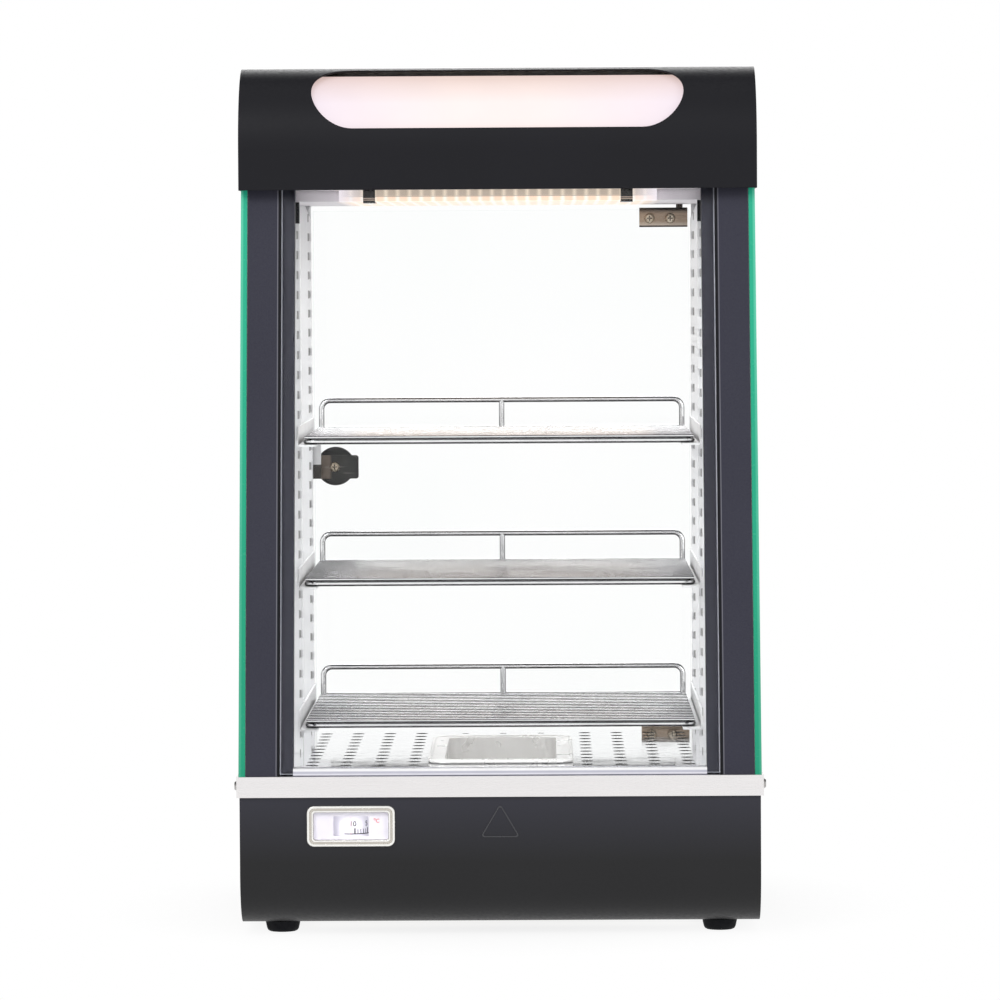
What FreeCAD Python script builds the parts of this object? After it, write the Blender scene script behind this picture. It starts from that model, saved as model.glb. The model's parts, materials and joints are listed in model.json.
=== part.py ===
import FreeCAD, Part

import math
import os
from types import SimpleNamespace

import Sketcher
from FreeCAD import Rotation, Vector

# Hot food display case. Millimetres, +Z up, the glazed front faces -Y, the door is at the back.
# X is measured from the middle plane and Z from the table. Y is measured from the front of the
# steel trim while the pieces are built; every sub-part is then moved forward by half the depth.

SIZES = {
    # steel trim (deck) between the base and the glass
    "trim_half": 181.8,
    "trim_depth": 360.0,
    "trim_low": 97.4,
    "trim_top": 111.7,
    "sheet_steel": 1.2,
    "deck_opening_half": 130.0,
    "deck_opening_front": 44.0,
    "deck_opening_back": 312.0,
    # base
    "base_half": 179.8,
    "base_low": 7.6,
    "base_inset": 2.0,
    "base_roll": 36.0,
    "base_hole_half": 136.0,
    "base_hole_front": 62.0,
    "base_hole_back": 296.0,
    "foot_x": 152.5,
    "foot_front": 45.0,
    "foot_back": 315.0,
    "foot_top_radius": 12.25,
    "foot_low_radius": 10.0,
    # floor of the cabinet and its water tray
    "floor_half": 172.0,
    "floor_front": 30.0,
    "floor_back": 328.0,
    "floor_top": 115.5,
    "floor_sheet": 1.0,
    "hole_radius": 4.4,
    "hole_first_x": 60.6,
    "hole_pitch_x": 23.65,
    "hole_first_y": 44.0,
    "hole_pitch_y": 25.6,
    "small_hole_radius": 2.5,
    "small_hole_pitch": 28.0,
    "tray_half": 51.0,
    "tray_front": 50.0,
    "tray_back": 250.0,
    "tray_corner": 14.0,
    "well_half": 40.0,
    "well_inset": 12.0,
    "well_low": 84.0,
    "well_corner": 10.0,
    "tray_sheet": 0.8,
    # slanted front
    "slant": 0.2097,
    "pillar_front": 5.0,
    "pillar_depth": 18.4,
    "pillar_inner": 143.0,
    "pillar_step": 152.6,
    "pillar_top": 528.0,
    "front_glass_half": 152.0,
    "front_glass_thick": 4.1,
    "glass_inner": 175.9,
    "glass_outer": 180.6,
    "glass_back": 352.0,
    # rear posts and slotted uprights
    "post_front": 330.0,
    "post_top": 509.5,
    "upright_x": 141.8,
    "upright_width": 12.0,
    "upright_depth": 10.0,
    "front_upright_y": 139.0,
    "rear_upright_y": 318.6,
    "upright_sheet": 1.0,
    "slot_pitch": 14.25,
    "slot_tall": 5.6,
    # wire shelves and their rails
    "shelf_low": 139.0,
    "shelf_pitch": 99.75,
    "shelf_half": 137.5,
    "shelf_front": 74.0,
    "shelf_back": 317.6,
    "frame_rod": 2.0,
    "wire_rod": 1.25,
    "guard_half": 136.5,
    "guard_tall": 27.5,
    "rail_web": 1.2,
    "rail_flange_x": 128.0,
    "rail_front": 62.0,
    "rail_back": 326.0,
    "rail_tall": 12.5,
    # rear door
    "door_half": 141.0,
    "door_front": 340.0,
    "door_thick": 4.0,
    "door_low": 113.5,
    "door_top": 505.5,
    "hinge_x": 134.0,
    "hinge_pin_radius": 2.5,
    "pin_clearance": 0.05,
    "clamp_inner": 104.0,
    "clamp_outer": 140.0,
    "clamp_tall": 14.5,
    "clamp_top_edge": 1.9,
    "clamp_low_edge": 1.1,
    "door_screw_near": 111.5,
    "door_screw_far": 127.0,
    "knob_x": -126.0,
    "knob_z": 313.5,
    "knob_radius": 14.5,
    "knob_long": 22.0,
    "strike_tall": 17.6,
    # hood
    "hood_half": 181.9,
    "hood_low": 517.0,
    "hood_top": 604.0,
    "hood_front": 80.0,
    "hood_back": 356.0,
    "hood_radius": 58.0,
    "sign_half": 131.0,
    "sign_tall": 59.2,
    "sign_angle": 44.8,
    "sign_gap": 3.0,
    "sign_sheet": 2.0,
    "ceiling_half": 175.6,
    "ceiling_low": 509.5,
    "ceiling_front": 128.0,
    "ceiling_back": 352.4,
    "light_half": 112.0,
    "light_front": 97.0,
    "light_back": 127.0,
    "light_low": 509.0,
    "led_pitch": 8.3,
    "clip_x": 90.7,
    "clip_wide": 8.5,
    # rear controls
    "panel_sheet": 1.2,
    "control_z": 60.0,
    "thermostat_x": 108.0,
    "power_x": 50.0,
    "lamp_x": 24.0,
    "light_switch_x": -2.0,
    "gland_x": -132.0,
    "gland_z": 34.0,
    "shaft_radius": 3.0,
    "dial_radius": 17.0,
    "dial_long": 16.0,
    "rocker_tilt": 8.0,
    # thermometer
    "meter_x": -103.0,
    "meter_z": 77.4,
    "meter_half": 30.5,
    "meter_tall_half": 14.15,
    "meter_corner": 5.0,
    "meter_wall": 1.5,
    "window_half": 25.75,
    "window_tall_half": 9.3,
    "scale_hole_half": 12.15,
    "scale_hole_tall_half": 6.8,
    "drum_radius": 13.2,
    "drum_tall": 14.2,
    # fan
    "fan_y": 285.0,
    "fan_half": 40.0,
    "fan_low": 58.0,
    "fan_tall": 22.0,
    # screws
    "screw_radius": 2.0,
    "screw_head": 3.9,
    "side_screw_inset": 14.0,
    "control_screw_x": 170.0,
    "control_screw_low": 24.0,
    "control_screw_high": 88.0,
    "hood_screw_x": 168.0,
    "hood_screw_low": 530.0,
    "hood_screw_high": 588.0,
}

HOLE_COLUMNS = 4
HOLE_ROWS = 11
SMALL_HOLE_ROWS = 2
TERMINALS = 3
KNOB_FLUTES = 12
SHELF_WIRES = 18
SHELVES = ("low", "middle", "top")
SLOTS = 26
LED_COUNT = 26
FAN_BLADES = 7
LOUVRES = 6
HOOD_SLOTS = 17
SIGN_LEDS = 11
WELD = 0.3       # how far welded rods sink into each other

doc = FreeCAD.newDocument("HotFoodCase")
sheet = doc.addObject("Spreadsheet::Sheet", "Sizes")
for row, (alias, number) in enumerate(SIZES.items(), 1):
    sheet.set(f"A{row}", alias)
    sheet.set(f"B{row}", str(number))
    sheet.setAlias(f"B{row}", alias)
doc.recompute()


class Size:
    """A number that also knows the sheet expression giving it."""

    def __init__(self, value, text):
        self.value = value
        self.text = text

    def __add__(self, other):
        return joined(self, "+", other)

    def __radd__(self, other):
        return joined(other, "+", self)

    def __sub__(self, other):
        return joined(self, "-", other)

    def __rsub__(self, other):
        return joined(other, "-", self)

    def __mul__(self, other):
        return joined(self, "*", other)

    def __rmul__(self, other):
        return joined(other, "*", self)

    def __truediv__(self, other):
        return joined(self, "/", other)

    def __neg__(self):
        return joined(0, "-", self)


def size(number):
    if isinstance(number, Size):
        return number
    return Size(float(number), f"({number!r})")


def joined(left, sign, right):
    left = size(left)
    right = size(right)
    values = {
        "+": left.value + right.value,
        "-": left.value - right.value,
        "*": left.value * right.value,
        "/": left.value / right.value if right.value else 0.0,
    }
    return Size(values[sign], f"({left.text} {sign} {right.text})")


d = SimpleNamespace(**{name: Size(value, f"Sizes.{name}") for name, value in SIZES.items()})

# Sizes worked out from the sheet.
t = d.sheet_steel
base_back = d.trim_depth - d.base_inset
mid_y = (base_back + d.dial_long + 2) / 2
panel_front = base_back - d.panel_sheet
deck_under = d.trim_top - t
door_back = d.door_front + d.door_thick
hinge_y = d.door_front + d.door_thick / 2
arc_y = d.hood_front + d.hood_radius
arc_z = d.hood_top - d.hood_radius
base_floor = d.base_low + t + 1
hood_rear_face = d.hood_back - t
light_top = d.hood_low + t
clamp_front = d.door_front - 2.5
clamp_back = door_back + 2.5
screw_hole = d.screw_radius + 0.1
side_screw_z = (d.trim_low + d.trim_top) / 2
side_screw_y = (d.side_screw_inset, d.trim_depth - d.side_screw_inset)
door_screw_heights = (d.door_low + 6.6, d.door_top - 6.6)
foot_places = [(x, y) for x in (-d.foot_x, d.foot_x) for y in (d.foot_front, d.foot_back)]
control_screws = [(x, z) for x in (-d.control_screw_x, d.control_screw_x)
                  for z in (d.control_screw_low, d.control_screw_high)]
hood_screws = [(x, z) for x in (-d.hood_screw_x, d.hood_screw_x)
               for z in (d.hood_screw_low, d.hood_screw_high)]

AXES = {
    "x": Rotation(Vector(0, 1, 0), 90),
    "y": Rotation(Vector(1, 0, 0), -90),
    "z": Rotation(),
}
sub_parts = []


# ---- helpers ---------------------------------------------------------------------------------

def bind(item, **sizes):
    """Tie properties of an object to their sheet expressions."""
    for name, value in sizes.items():
        item.setExpression(name, size(value).text)
    return item


def place(item, x, y, z, rotation=None):
    """Put an object's base point somewhere that follows the sheet."""
    if rotation is not None:
        item.Placement.Rotation = rotation
    for axis, value in zip("xyz", (x, y, z)):
        item.setExpression(f"Placement.Base.{axis}", size(value).text)
    return item


def box(x, y, z):
    """A block; each of x, y and z is its (low, high)."""
    item = doc.addObject("Part::Box", "Block")
    bind(item, Length=x[1] - x[0], Width=y[1] - y[0], Height=z[1] - z[0])
    return place(item, x[0], y[0], z[0])


def rod(axis, x, y, z, length, radius):
    """A cylinder that starts at (x, y, z) and runs along +axis."""
    item = doc.addObject("Part::Cylinder", "Rod")
    bind(item, Radius=radius, Height=length)
    return place(item, x, y, z, AXES[axis])


def cone(axis, x, y, z, length, start_radius, end_radius):
    item = doc.addObject("Part::Cone", "Taper")
    bind(item, Radius1=start_radius, Radius2=end_radius, Height=length)
    return place(item, x, y, z, AXES[axis])


def elbow(x, y, z, bend, radius, rotation):
    """A quarter ring of rod; unrotated it sweeps from +X to +Y about +Z."""
    item = doc.addObject("Part::Torus", "Elbow")
    item.Angle3 = 90
    bind(item, Radius1=bend, Radius2=radius)
    return place(item, x, y, z, rotation)


def fuse(*items):
    item = doc.addObject("Part::MultiFuse", "Joined")
    item.Shapes = list(items)
    item.Refine = True
    return item


def group(*items):
    item = doc.addObject("Part::Compound", "Group")
    item.Links = list(items)
    return item


def cut(base, *tools):
    item = doc.addObject("Part::Cut", "CutPiece")
    item.Base = base
    item.Tool = tools[0] if len(tools) == 1 else group(*tools)
    return item


def common(first, second):
    item = doc.addObject("Part::MultiCommon", "Overlap")
    item.Shapes = [first, second]
    return item


def mirrored(item):
    """A mirror image across the middle plane."""
    copy = doc.addObject("Part::Mirroring", "Mirrored")
    copy.Source = item
    copy.Normal = Vector(1, 0, 0)
    return copy


def moved(item, x=0, y=0, z=0, rotation=None):
    return place(group(item), x, y, z, rotation)


def origin_plane(body, role):
    return next(plane for plane in body.Origin.OriginFeatures if plane.Role == role)


def prism(plane, outline, start, length, rounds=(), lean=None, both_ways=False):
    """A padded body. The outline's corners are (a, b) pairs held to the sheet; rounds are
    (a, b, radius) for the corners that are rounded; lean is the sideways run per unit of length."""
    body = doc.addObject("PartDesign::Body", "Profiled")
    sketch = body.newObject("Sketcher::SketchObject", "Outline")
    sketch.AttachmentSupport = [(origin_plane(body, plane), "")]
    sketch.MapMode = "FlatFace"
    sketch.setExpression("AttachmentOffset.Base.z", size(start).text)
    corners = [(size(a), size(b)) for a, b in outline]
    points = [Vector(a.value, b.value, 0) for a, b in corners]
    count = len(points)
    for index in range(count):
        sketch.addGeometry(Part.LineSegment(points[index], points[(index + 1) % count]), False)
    for index in range(count):
        sketch.addConstraint(Sketcher.Constraint("Coincident", index, 2, (index + 1) % count, 1))
    for index, corner in enumerate(corners):
        for kind, value in zip(("DistanceX", "DistanceY"), corner):
            number = sketch.addConstraint(Sketcher.Constraint(kind, index, 1, value.value))
            sketch.setExpression(f"Constraints[{number}]", value.text)
    pad = body.newObject("PartDesign::Pad", "Pad")
    pad.Profile = sketch
    sketch.Visibility = False
    bind(pad, Length=length)
    if both_ways:
        pad.SideType = "Symmetric"
    if lean is not None:
        pad.UseCustomVector = True
        pad.Direction = Vector(0, lean.value, 1)
        pad.setExpression("Direction.y", lean.text)
        pad.AlongSketchNormal = True
    if not rounds:
        return body
    doc.recompute()
    last = pad
    for a, b, radius in rounds:
        edges = edges_at(last.Shape, plane, size(a).value, size(b).value)
        last = body.newObject("PartDesign::Fillet", "Rounded")
        last.Base = (body.Group[-2], edges)
        bind(last, Radius=radius)
        doc.recompute()
    return body


def edges_at(shape, plane, a, b):
    """Names of the straight edges that stand on the plane's point (a, b)."""
    first, second = {"XY_Plane": (0, 1), "XZ_Plane": (0, 2), "YZ_Plane": (1, 2)}[plane]
    found = []
    for number, edge in enumerate(shape.Edges, 1):
        ends = [vertex.Point for vertex in edge.Vertexes]
        if all(abs(end[first] - a) + abs(end[second] - b) < 0.01 for end in ends):
            found.append(f"Edge{number}")
    return found


def rounded_box(x, y, z, radius):
    """A block with its four upright edges rounded."""
    corners = [(x[0], y[0]), (x[1], y[0]), (x[1], y[1]), (x[0], y[1])]
    return prism("XY_Plane", corners, z[0], z[1] - z[0], [(a, b, radius) for a, b in corners])


def rounded_front_box(x, y, z, radius):
    """A block with its four edges along Y rounded. The XZ plane's own normal is -Y."""
    corners = [(x[0], z[0]), (x[1], z[0]), (x[1], z[1]), (x[0], z[1])]
    return prism("XZ_Plane", corners, -y[1], y[1] - y[0], [(a, b, radius) for a, b in corners])


def rod_loop(half, y, z, bend, radius):
    """A flat closed loop of rod, centre lines at +-half and at the two values of y."""
    front, back = y
    sides = [rod("y", side, front + bend, z, back - front - 2 * bend, radius)
             for side in (-half, half)]
    ends = [rod("x", bend - half, end, z, 2 * half - 2 * bend, radius) for end in (front, back)]
    corners = [
        elbow(half - bend, back - bend, z, bend, radius, Rotation(Vector(0, 0, 1), 0)),
        elbow(bend - half, back - bend, z, bend, radius, Rotation(Vector(0, 0, 1), 90)),
        elbow(bend - half, front + bend, z, bend, radius, Rotation(Vector(0, 0, 1), 180)),
        elbow(half - bend, front + bend, z, bend, radius, Rotation(Vector(0, 0, 1), 270)),
    ]
    return sides + ends + corners


def pair(item):
    return group(item, mirrored(item))


def sub_part(label, *items):
    """Register a finished sub-part under the name of its file."""
    part = doc.addObject("Part::Compound", "SubPart")
    part.Label = label
    part.Links = list(items)
    place(part, 0, -mid_y, 0)
    sub_parts.append(part)
    return part


# ---- base ------------------------------------------------------------------------------------

def base_outline(inset, low, top, back):
    front = d.base_inset + inset
    return [(front, low), (back, low), (back, top), (front, top)]


def base_shell():
    outer = prism("YZ_Plane", base_outline(0, d.base_low, deck_under, base_back), 0, 2 * d.base_half,
                  [(d.base_inset, d.base_low, d.base_roll)], both_ways=True)
    inner = prism("YZ_Plane", base_outline(t, d.base_low + t, d.trim_top, d.trim_depth), 0,
                  2 * d.base_half - 2 * t, [(d.base_inset + t, d.base_low + t, d.base_roll - t)],
                  both_ways=True)
    floor_hole = rounded_box((-d.base_hole_half, d.base_hole_half),
                             (d.base_hole_front, d.base_hole_back), (d.base_low - 1, 20), 6)
    reach = d.meter_wall + 0.15
    meter_hole = box((d.meter_x - d.window_half - reach, d.meter_x + d.window_half + reach), (0, 10),
                     (d.meter_z - d.window_tall_half - reach, d.meter_z + d.window_tall_half + reach))
    screw_holes = [rod("z", x, y, d.base_low - 1, 4, screw_hole) for x, y in foot_places]
    side_holes = [rod("x", -d.trim_half, y, side_screw_z, 2 * d.trim_half, screw_hole)
                  for y in side_screw_y]
    sub_part("base_shell", cut(outer, inner, floor_hole, meter_hole, *screw_holes, *side_holes))


def bottom_plate():
    low = d.base_low + t
    edge = 8
    slot_wide, slot_long, slot_pitch = 4, 40, 12
    plate = box((edge - d.base_half, d.base_half - edge), (50, base_back - 4), (low, base_floor))
    slots = [box((x, x + slot_wide), (y, y + slot_long), (low - 1, base_floor + 1))
             for x in (index * slot_pitch - 26 for index in range(5)) for y in (120, 260)]
    screws = [rod("z", x, d.foot_back, low - 1, 4, screw_hole) for x in (-d.foot_x, d.foot_x)]
    sub_part("bottom_plate", cut(plate, *slots, *screws))


def feet():
    recess = 5
    solids = [cut(cone("z", x, y, 0, d.base_low, d.foot_low_radius, d.foot_top_radius),
                  rod("z", x, y, -1, 4, recess),
                  rod("z", x, y, -1, 12, screw_hole)) for x, y in foot_places]
    sub_part("feet", *solids)


def screw(axis, x, y, z, shank, flip=False):
    """A pan-head screw whose head stands on (x, y, z); the shank runs the other way."""
    head_tall = 2.0
    turn = {"x": Vector(0, 0, 1), "y": Vector(0, 0, 1), "z": Vector(1, 0, 0)}[axis]
    head = cone(axis, 0, 0, 0, head_tall, d.screw_head, 2.6)
    start = {"x": (-shank, 0, 0), "y": (0, -shank, 0), "z": (0, 0, -shank)}[axis]
    body = rod(axis, *start, shank, d.screw_radius)
    slot = {
        "x": [box((1.2, 3), (-0.4, 0.4), (-2, 2)), box((1.2, 3), (-2, 2), (-0.4, 0.4))],
        "y": [box((-0.4, 0.4), (1.2, 3), (-2, 2)), box((-2, 2), (1.2, 3), (-0.4, 0.4))],
        "z": [box((-0.4, 0.4), (-2, 2), (1.2, 3)), box((-2, 2), (-0.4, 0.4), (1.2, 3))],
    }[axis]
    whole = cut(fuse(head, body), *slot)
    return moved(whole, x, y, z, Rotation(turn, 180) if flip else None)


def case_screws():
    deck = [screw("x", side * d.trim_half, y, side_screw_z, 8, flip=side < 0)
            for side in (-1, 1) for y in side_screw_y]
    foot = [screw("z", x, y, 3, 9.5, flip=True) for x, y in foot_places]
    control = [screw("y", x, base_back, z, 5) for x, z in control_screws]
    hood = [screw("y", x, hood_rear_face, z, 5) for x, z in hood_screws]
    sub_part("case_screws", *deck, *foot, *control, *hood)


def tray_sheet_panel(half, front, back, low, top, lip):
    """A flat rear panel with four lips bent forward."""
    behind = box((-half + t, half - t), (front - lip - 1, front), (low + t, top - t))
    block = box((-half, half), (front - lip, back), (low, top))
    return cut(block, behind)


def control_panel():
    low = d.base_low + t + 1.2
    half = d.base_half - t - 0.2
    panel = tray_sheet_panel(half, panel_front, base_back, low, deck_under - 0.2, 8)
    louvre_wide, louvre_tall, louvre_pitch = 34, 3, 9
    louvres = [box((x, x + louvre_wide), (panel_front - 2, base_back + 1), (z, z + louvre_tall))
               for x in (-100, -58) for z in (30 + louvre_pitch * index for index in range(LOUVRES))]
    holes = [
        rod("y", d.thermostat_x, panel_front - 2, d.control_z, 6, d.shaft_radius + 2.2),
        rod("y", d.lamp_x, panel_front - 2, d.control_z, 6, 4.1),
        rod("y", d.gland_x, panel_front - 2, d.gland_z, 6, 6.1),
    ]
    holes += [box((x - 6.4, x + 6.4), (panel_front - 2, base_back + 1),
                  (d.control_z - 9.5, d.control_z + 9.5)) for x in (d.power_x, d.light_switch_x)]
    holes += [rod("y", x, panel_front - 2, z, 6, screw_hole) for x, z in control_screws]
    sub_part("control_panel", cut(panel, *louvres, *holes))


def thermostat():
    x = d.thermostat_x
    z = d.control_z
    body = fuse(rounded_front_box((x - 17, x + 17), (panel_front - 26, panel_front - 0.1),
                                  (z - 17, z + 17), 5),
                rod("y", x, panel_front - 0.2, z, 3.2, d.shaft_radius + 2))
    bore = rod("y", x, panel_front - 12, z, 20, d.shaft_radius + d.pin_clearance)
    sub_part("thermostat_body", cut(body, bore))
    shaft_start = panel_front - 11
    sub_part("thermostat_shaft",
             rod("y", x, shaft_start, z, base_back + d.dial_long - 4 - shaft_start, d.shaft_radius))
    dial_start = base_back + 3.4
    skirt = cone("y", x, dial_start, z, 4, d.dial_radius, d.dial_radius - 1.5)
    grip = cone("y", x, dial_start + 3.8, z, d.dial_long - 6.2, d.dial_radius - 4, d.dial_radius - 5.5)
    cap = cone("y", x, dial_start + d.dial_long - 2.4, z, 1, d.dial_radius - 5.5,
               d.dial_radius - 6.5)
    flutes = []
    reach = d.dial_radius - 3.2
    for index in range(KNOB_FLUTES):
        turn = math.tau * (index + 0.5) / KNOB_FLUTES
        flutes.append(rod("y", x + reach * math.cos(turn), dial_start + 4, z + reach * math.sin(turn),
                          d.dial_long, 1.6))
    bore = rod("y", x, dial_start - 1, z, d.dial_long - 5.4, d.shaft_radius)
    sub_part("thermostat_knob", cut(fuse(skirt, grip, cap), bore, *flutes))


def thermostat_probe():
    """The sensing bulb under the deck, its capillary and the run down to the thermostat."""
    x = d.thermostat_x
    z = d.control_z
    bulb_z = d.trim_top - 9
    start = panel_front - 26
    out = rod("y", x, start - 12, z, 12, 0.9)
    up = rod("z", x, start - 16, z + 4, bulb_z - z - 8, 0.9)
    along = rod("y", x, start - 60, bulb_z, 40, 0.9)
    low_bend = elbow(x, start - 12, z + 4, 4, 0.9, Rotation(Vector(0, 1, 0), -90)
                     .multiply(Rotation(Vector(0, 0, 1), 180)))
    high_bend = elbow(x, start - 20, bulb_z - 4, 4, 0.9, Rotation(Vector(0, 1, 0), -90))
    bulb = rod("y", x, start - 120, bulb_z, 60.5, 3)
    sub_part("thermostat_probe", fuse(out, low_bend, up, high_bend, along, bulb))


def rocker_switch(label, housing_label, x):
    """A switch body in the panel and its rocker, which rests tipped to its off side."""
    z = d.control_z
    pivot_y = base_back - 1
    shell = fuse(rounded_front_box((x - 7.5, x + 7.5), (base_back, base_back + 1.6),
                                   (z - 10.5, z + 10.5), 1.2),
                 box((x - 6.2, x + 6.2), (base_back - 14, base_back + 0.2), (z - 9.3, z + 9.3)))
    hollow = box((x - 5, x + 5), (base_back - 9, base_back + 2), (z - 8, z + 8))
    pin_holes = rod("x", x - 5.8, pivot_y, z, 11.6, 1 + d.pin_clearance)
    contacts = [box((x - 2, x + 2), (base_back - 19, base_back - 13.5), (z + shift, z + shift + 0.8))
                for shift in (-5.4, 4.6)]
    sub_part(housing_label, cut(fuse(shell, *contacts), hollow, pin_holes))
    face = [(-5, -4), (3.6, -7.3), (2.2, 0), (3.6, 7.3), (-5, 4)]
    key = prism("YZ_Plane", face, 0, 9.4, [(3.6, -7.3, 0.5), (3.6, 7.3, 0.5)], both_ways=True)
    pin = rod("x", -5.6, 0, 0, 11.2, 1)
    tipped = place(fuse(key, pin), x, pivot_y, z, Rotation(Vector(1, 0, 0), -d.rocker_tilt.value))
    tipped.setExpression("Placement.Rotation.Angle", d.rocker_tilt.text)
    sub_part(label, tipped)


def indicator_lamp():
    x = d.lamp_x
    z = d.control_z
    flange = rod("y", x, base_back, z, 1.2, 5.5)
    dome = cone("y", x, base_back + 1, z, 3, 4.2, 3)
    body = rod("y", x, base_back - 16, z, 17, 3.9)
    sub_part("indicator_lamp", fuse(flange, dome, body))


def cable_gland():
    x = d.gland_x
    z = d.gland_z
    collar = rod("y", x, base_back, z, 3.5, 9)
    tail = cone("y", x, base_back + 3.3, z, 6, 7.5, 6)
    thread = rod("y", x, panel_front - 10, z, 12, 6)
    nut = rod("y", x, panel_front - 6, z, 5.9, 8.6)
    bore = rod("y", x, panel_front - 11, z, 24, 3.8)
    sub_part("cable_gland", cut(fuse(collar, tail, thread, nut), bore))


def terminal_block():
    left, long, pitch, rib = -150.0, 34.0, 11.5, 1.0
    front, back = 270, 286
    top = base_floor + 13
    block = box((left, left + long), (front, back), (base_floor, top))
    wells = [rod("z", left + 5.5 + pitch * pole, y, base_floor + 5, 10, 2.4)
             for pole in range(TERMINALS) for y in (front + 4, back - 4)]
    ribs = [box((left + 10.8 + pitch * pole, left + 10.8 + rib + pitch * pole), (front - 1, back + 1),
                (top - 1, top + 2)) for pole in range(TERMINALS - 1)]
    sub_part("terminal_block", cut(fuse(block, *ribs), *wells))


def led_driver():
    left, right, front, back = 66, 122, 220, 262
    middle = (front + back) / 2
    case = rounded_box((left, right), (front, back), (base_floor, base_floor + 22), 3)
    ears = [box((x - 5, x + 5), (middle - 7, middle + 7), (base_floor, base_floor + 2))
            for x in (left - 4, right + 4)]
    holes = [rod("z", x, middle, base_floor - 1, 5, 1.8) for x in (left - 5, right + 5)]
    sub_part("led_driver", cut(fuse(case, *ears), *holes))


# ---- thermometer -----------------------------------------------------------------------------

def thermometer():
    """A drum scale behind a window: bezel, window, face with a cut-out, drum, case and coil."""
    x = d.meter_x
    z = d.meter_z
    front = d.base_inset
    wide = d.window_half
    tall = d.window_tall_half
    wall = d.meter_wall
    ease = 0.15
    drum_y = front + 3 + d.drum_radius
    spindle = 0.8
    bore = spindle + d.pin_clearance

    def across(half, gap=0.0):
        return (x - half + gap, x + half - gap)

    def upright(half, gap=0.0):
        return (z - half + gap, z + half - gap)

    frame = rounded_front_box(across(d.meter_half), (front - 1.7, front), upright(d.meter_tall_half),
                              d.meter_corner)
    opening = rounded_front_box(across(wide), (front - 3, front + 1), upright(tall), 1.5)
    sub_part("thermometer_bezel", cut(frame, opening))
    sub_part("thermometer_window", rounded_front_box(across(wide, ease), (front - 1.2, front - 0.4),
                                                     upright(tall, ease), 1.4))
    plate = box(across(wide, ease), (front + 1.4, front + 2.2), upright(tall, ease))
    scale_hole = box(across(d.scale_hole_half), (front, front + 4), upright(d.scale_hole_tall_half))
    sub_part("thermometer_face", cut(plate, scale_hole))
    depth = 2 * d.drum_radius + 3 + 2 * wall
    shell = box(across(wide + wall), (front, front + depth), upright(tall + wall))
    room = box(across(wide), (front - 1, front + depth - wall), upright(tall))
    sub_part("thermometer_case",
             fuse(cut(shell, room), rod("z", x, drum_y, z - tall - 0.5, 2 * tall + 1, spindle)))
    drum = cut(rod("z", x, drum_y, z - d.drum_tall / 2, d.drum_tall, d.drum_radius),
               rod("z", x, drum_y, z - tall, d.drum_tall / 2 + tall - 1.8, d.drum_radius - 1))
    hub = rod("z", x, drum_y, z - 1, 6, 2.4)
    hub_hole = rod("z", x, drum_y, z - tall, 2 * tall, bore)
    sub_part("thermometer_drum", cut(fuse(drum, hub), hub_hole))
    coil = cut(rod("z", x, drum_y, z - 8.8, 2.6, 8), rod("z", x, drum_y, z - 9, 3, 7.4),
               box((x + 5, x + 9), (drum_y - 1, drum_y + 1), (z - 10, z - 5)))
    sub_part("thermometer_coil", coil)


# ---- deck, floor, tray, heater and fan -------------------------------------------------------

def deck_pan():
    half = d.trim_half
    block = box((-half, half), (0, d.trim_depth), (d.trim_low, d.trim_top))
    inside = box((t - half, half - t), (t, d.trim_depth - t), (d.trim_low - 1, deck_under))
    opening = rounded_box((-d.deck_opening_half, d.deck_opening_half),
                          (d.deck_opening_front, d.deck_opening_back), (deck_under - 1, d.trim_top + 1), 6)
    pin_hole = rod("z", d.hinge_x, hinge_y, deck_under - 1, 4, d.hinge_pin_radius + d.pin_clearance)
    screw_holes = [rod("x", -d.trim_half - 1, y, side_screw_z, 2 * d.trim_half + 2, screw_hole)
                   for y in side_screw_y]
    sub_part("deck_pan", cut(block, inside, opening, pin_hole, *screw_holes))


def floor_plate():
    half = d.floor_half
    sheet_t = d.floor_sheet
    block = box((-half, half), (d.floor_front, d.floor_back), (d.trim_top, d.floor_top))
    inside = box((sheet_t - half, half - sheet_t), (d.floor_front + sheet_t, d.floor_back - sheet_t),
                 (d.trim_top - 1, d.floor_top - sheet_t))
    tray_hole = rounded_box((-d.well_half - 2, d.well_half + 2),
                            (d.tray_front + d.well_inset - 2, d.tray_back - d.well_inset + 2),
                            (d.trim_top - 1, d.floor_top + 1), 10)
    holes = []
    for column in range(HOLE_COLUMNS):
        for line in range(HOLE_ROWS):
            for side in (-1, 1):
                holes.append(rod("z", side * (d.hole_first_x + column * d.hole_pitch_x),
                                 d.hole_first_y + line * d.hole_pitch_y, d.floor_top - 2, 4,
                                 d.hole_radius))
    for column in (-1, 0, 1):
        for line in range(SMALL_HOLE_ROWS):
            holes.append(rod("z", column * d.small_hole_pitch, d.tray_back + 22 + line * 26,
                             d.floor_top - 2, 4, d.small_hole_radius))
    sub_part("floor_plate", cut(block, inside, tray_hole, *holes))


def water_tray():
    rim_rod = 1.5
    rim_z = d.floor_top + rim_rod
    half = d.tray_half - rim_rod
    ends = (d.tray_front + rim_rod, d.tray_back - rim_rod)
    rim = rod_loop(half, ends, rim_z, d.tray_corner - rim_rod, rim_rod)
    flange = rounded_box((-half, half), ends, (rim_z, rim_z + 0.8), d.tray_corner - rim_rod)
    well_ends = (d.tray_front + d.well_inset, d.tray_back - d.well_inset)
    well = rounded_box((-d.well_half, d.well_half), well_ends, (d.well_low, rim_z + 0.4), d.well_corner)
    inner_ends = (well_ends[0] + d.tray_sheet, well_ends[1] - d.tray_sheet)
    hollow = rounded_box((d.tray_sheet - d.well_half, d.well_half - d.tray_sheet), inner_ends,
                         (d.well_low + d.tray_sheet, rim_z + 2), d.well_corner - d.tray_sheet)
    sub_part("water_tray", cut(fuse(*rim, flange, well), hollow))


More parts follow.
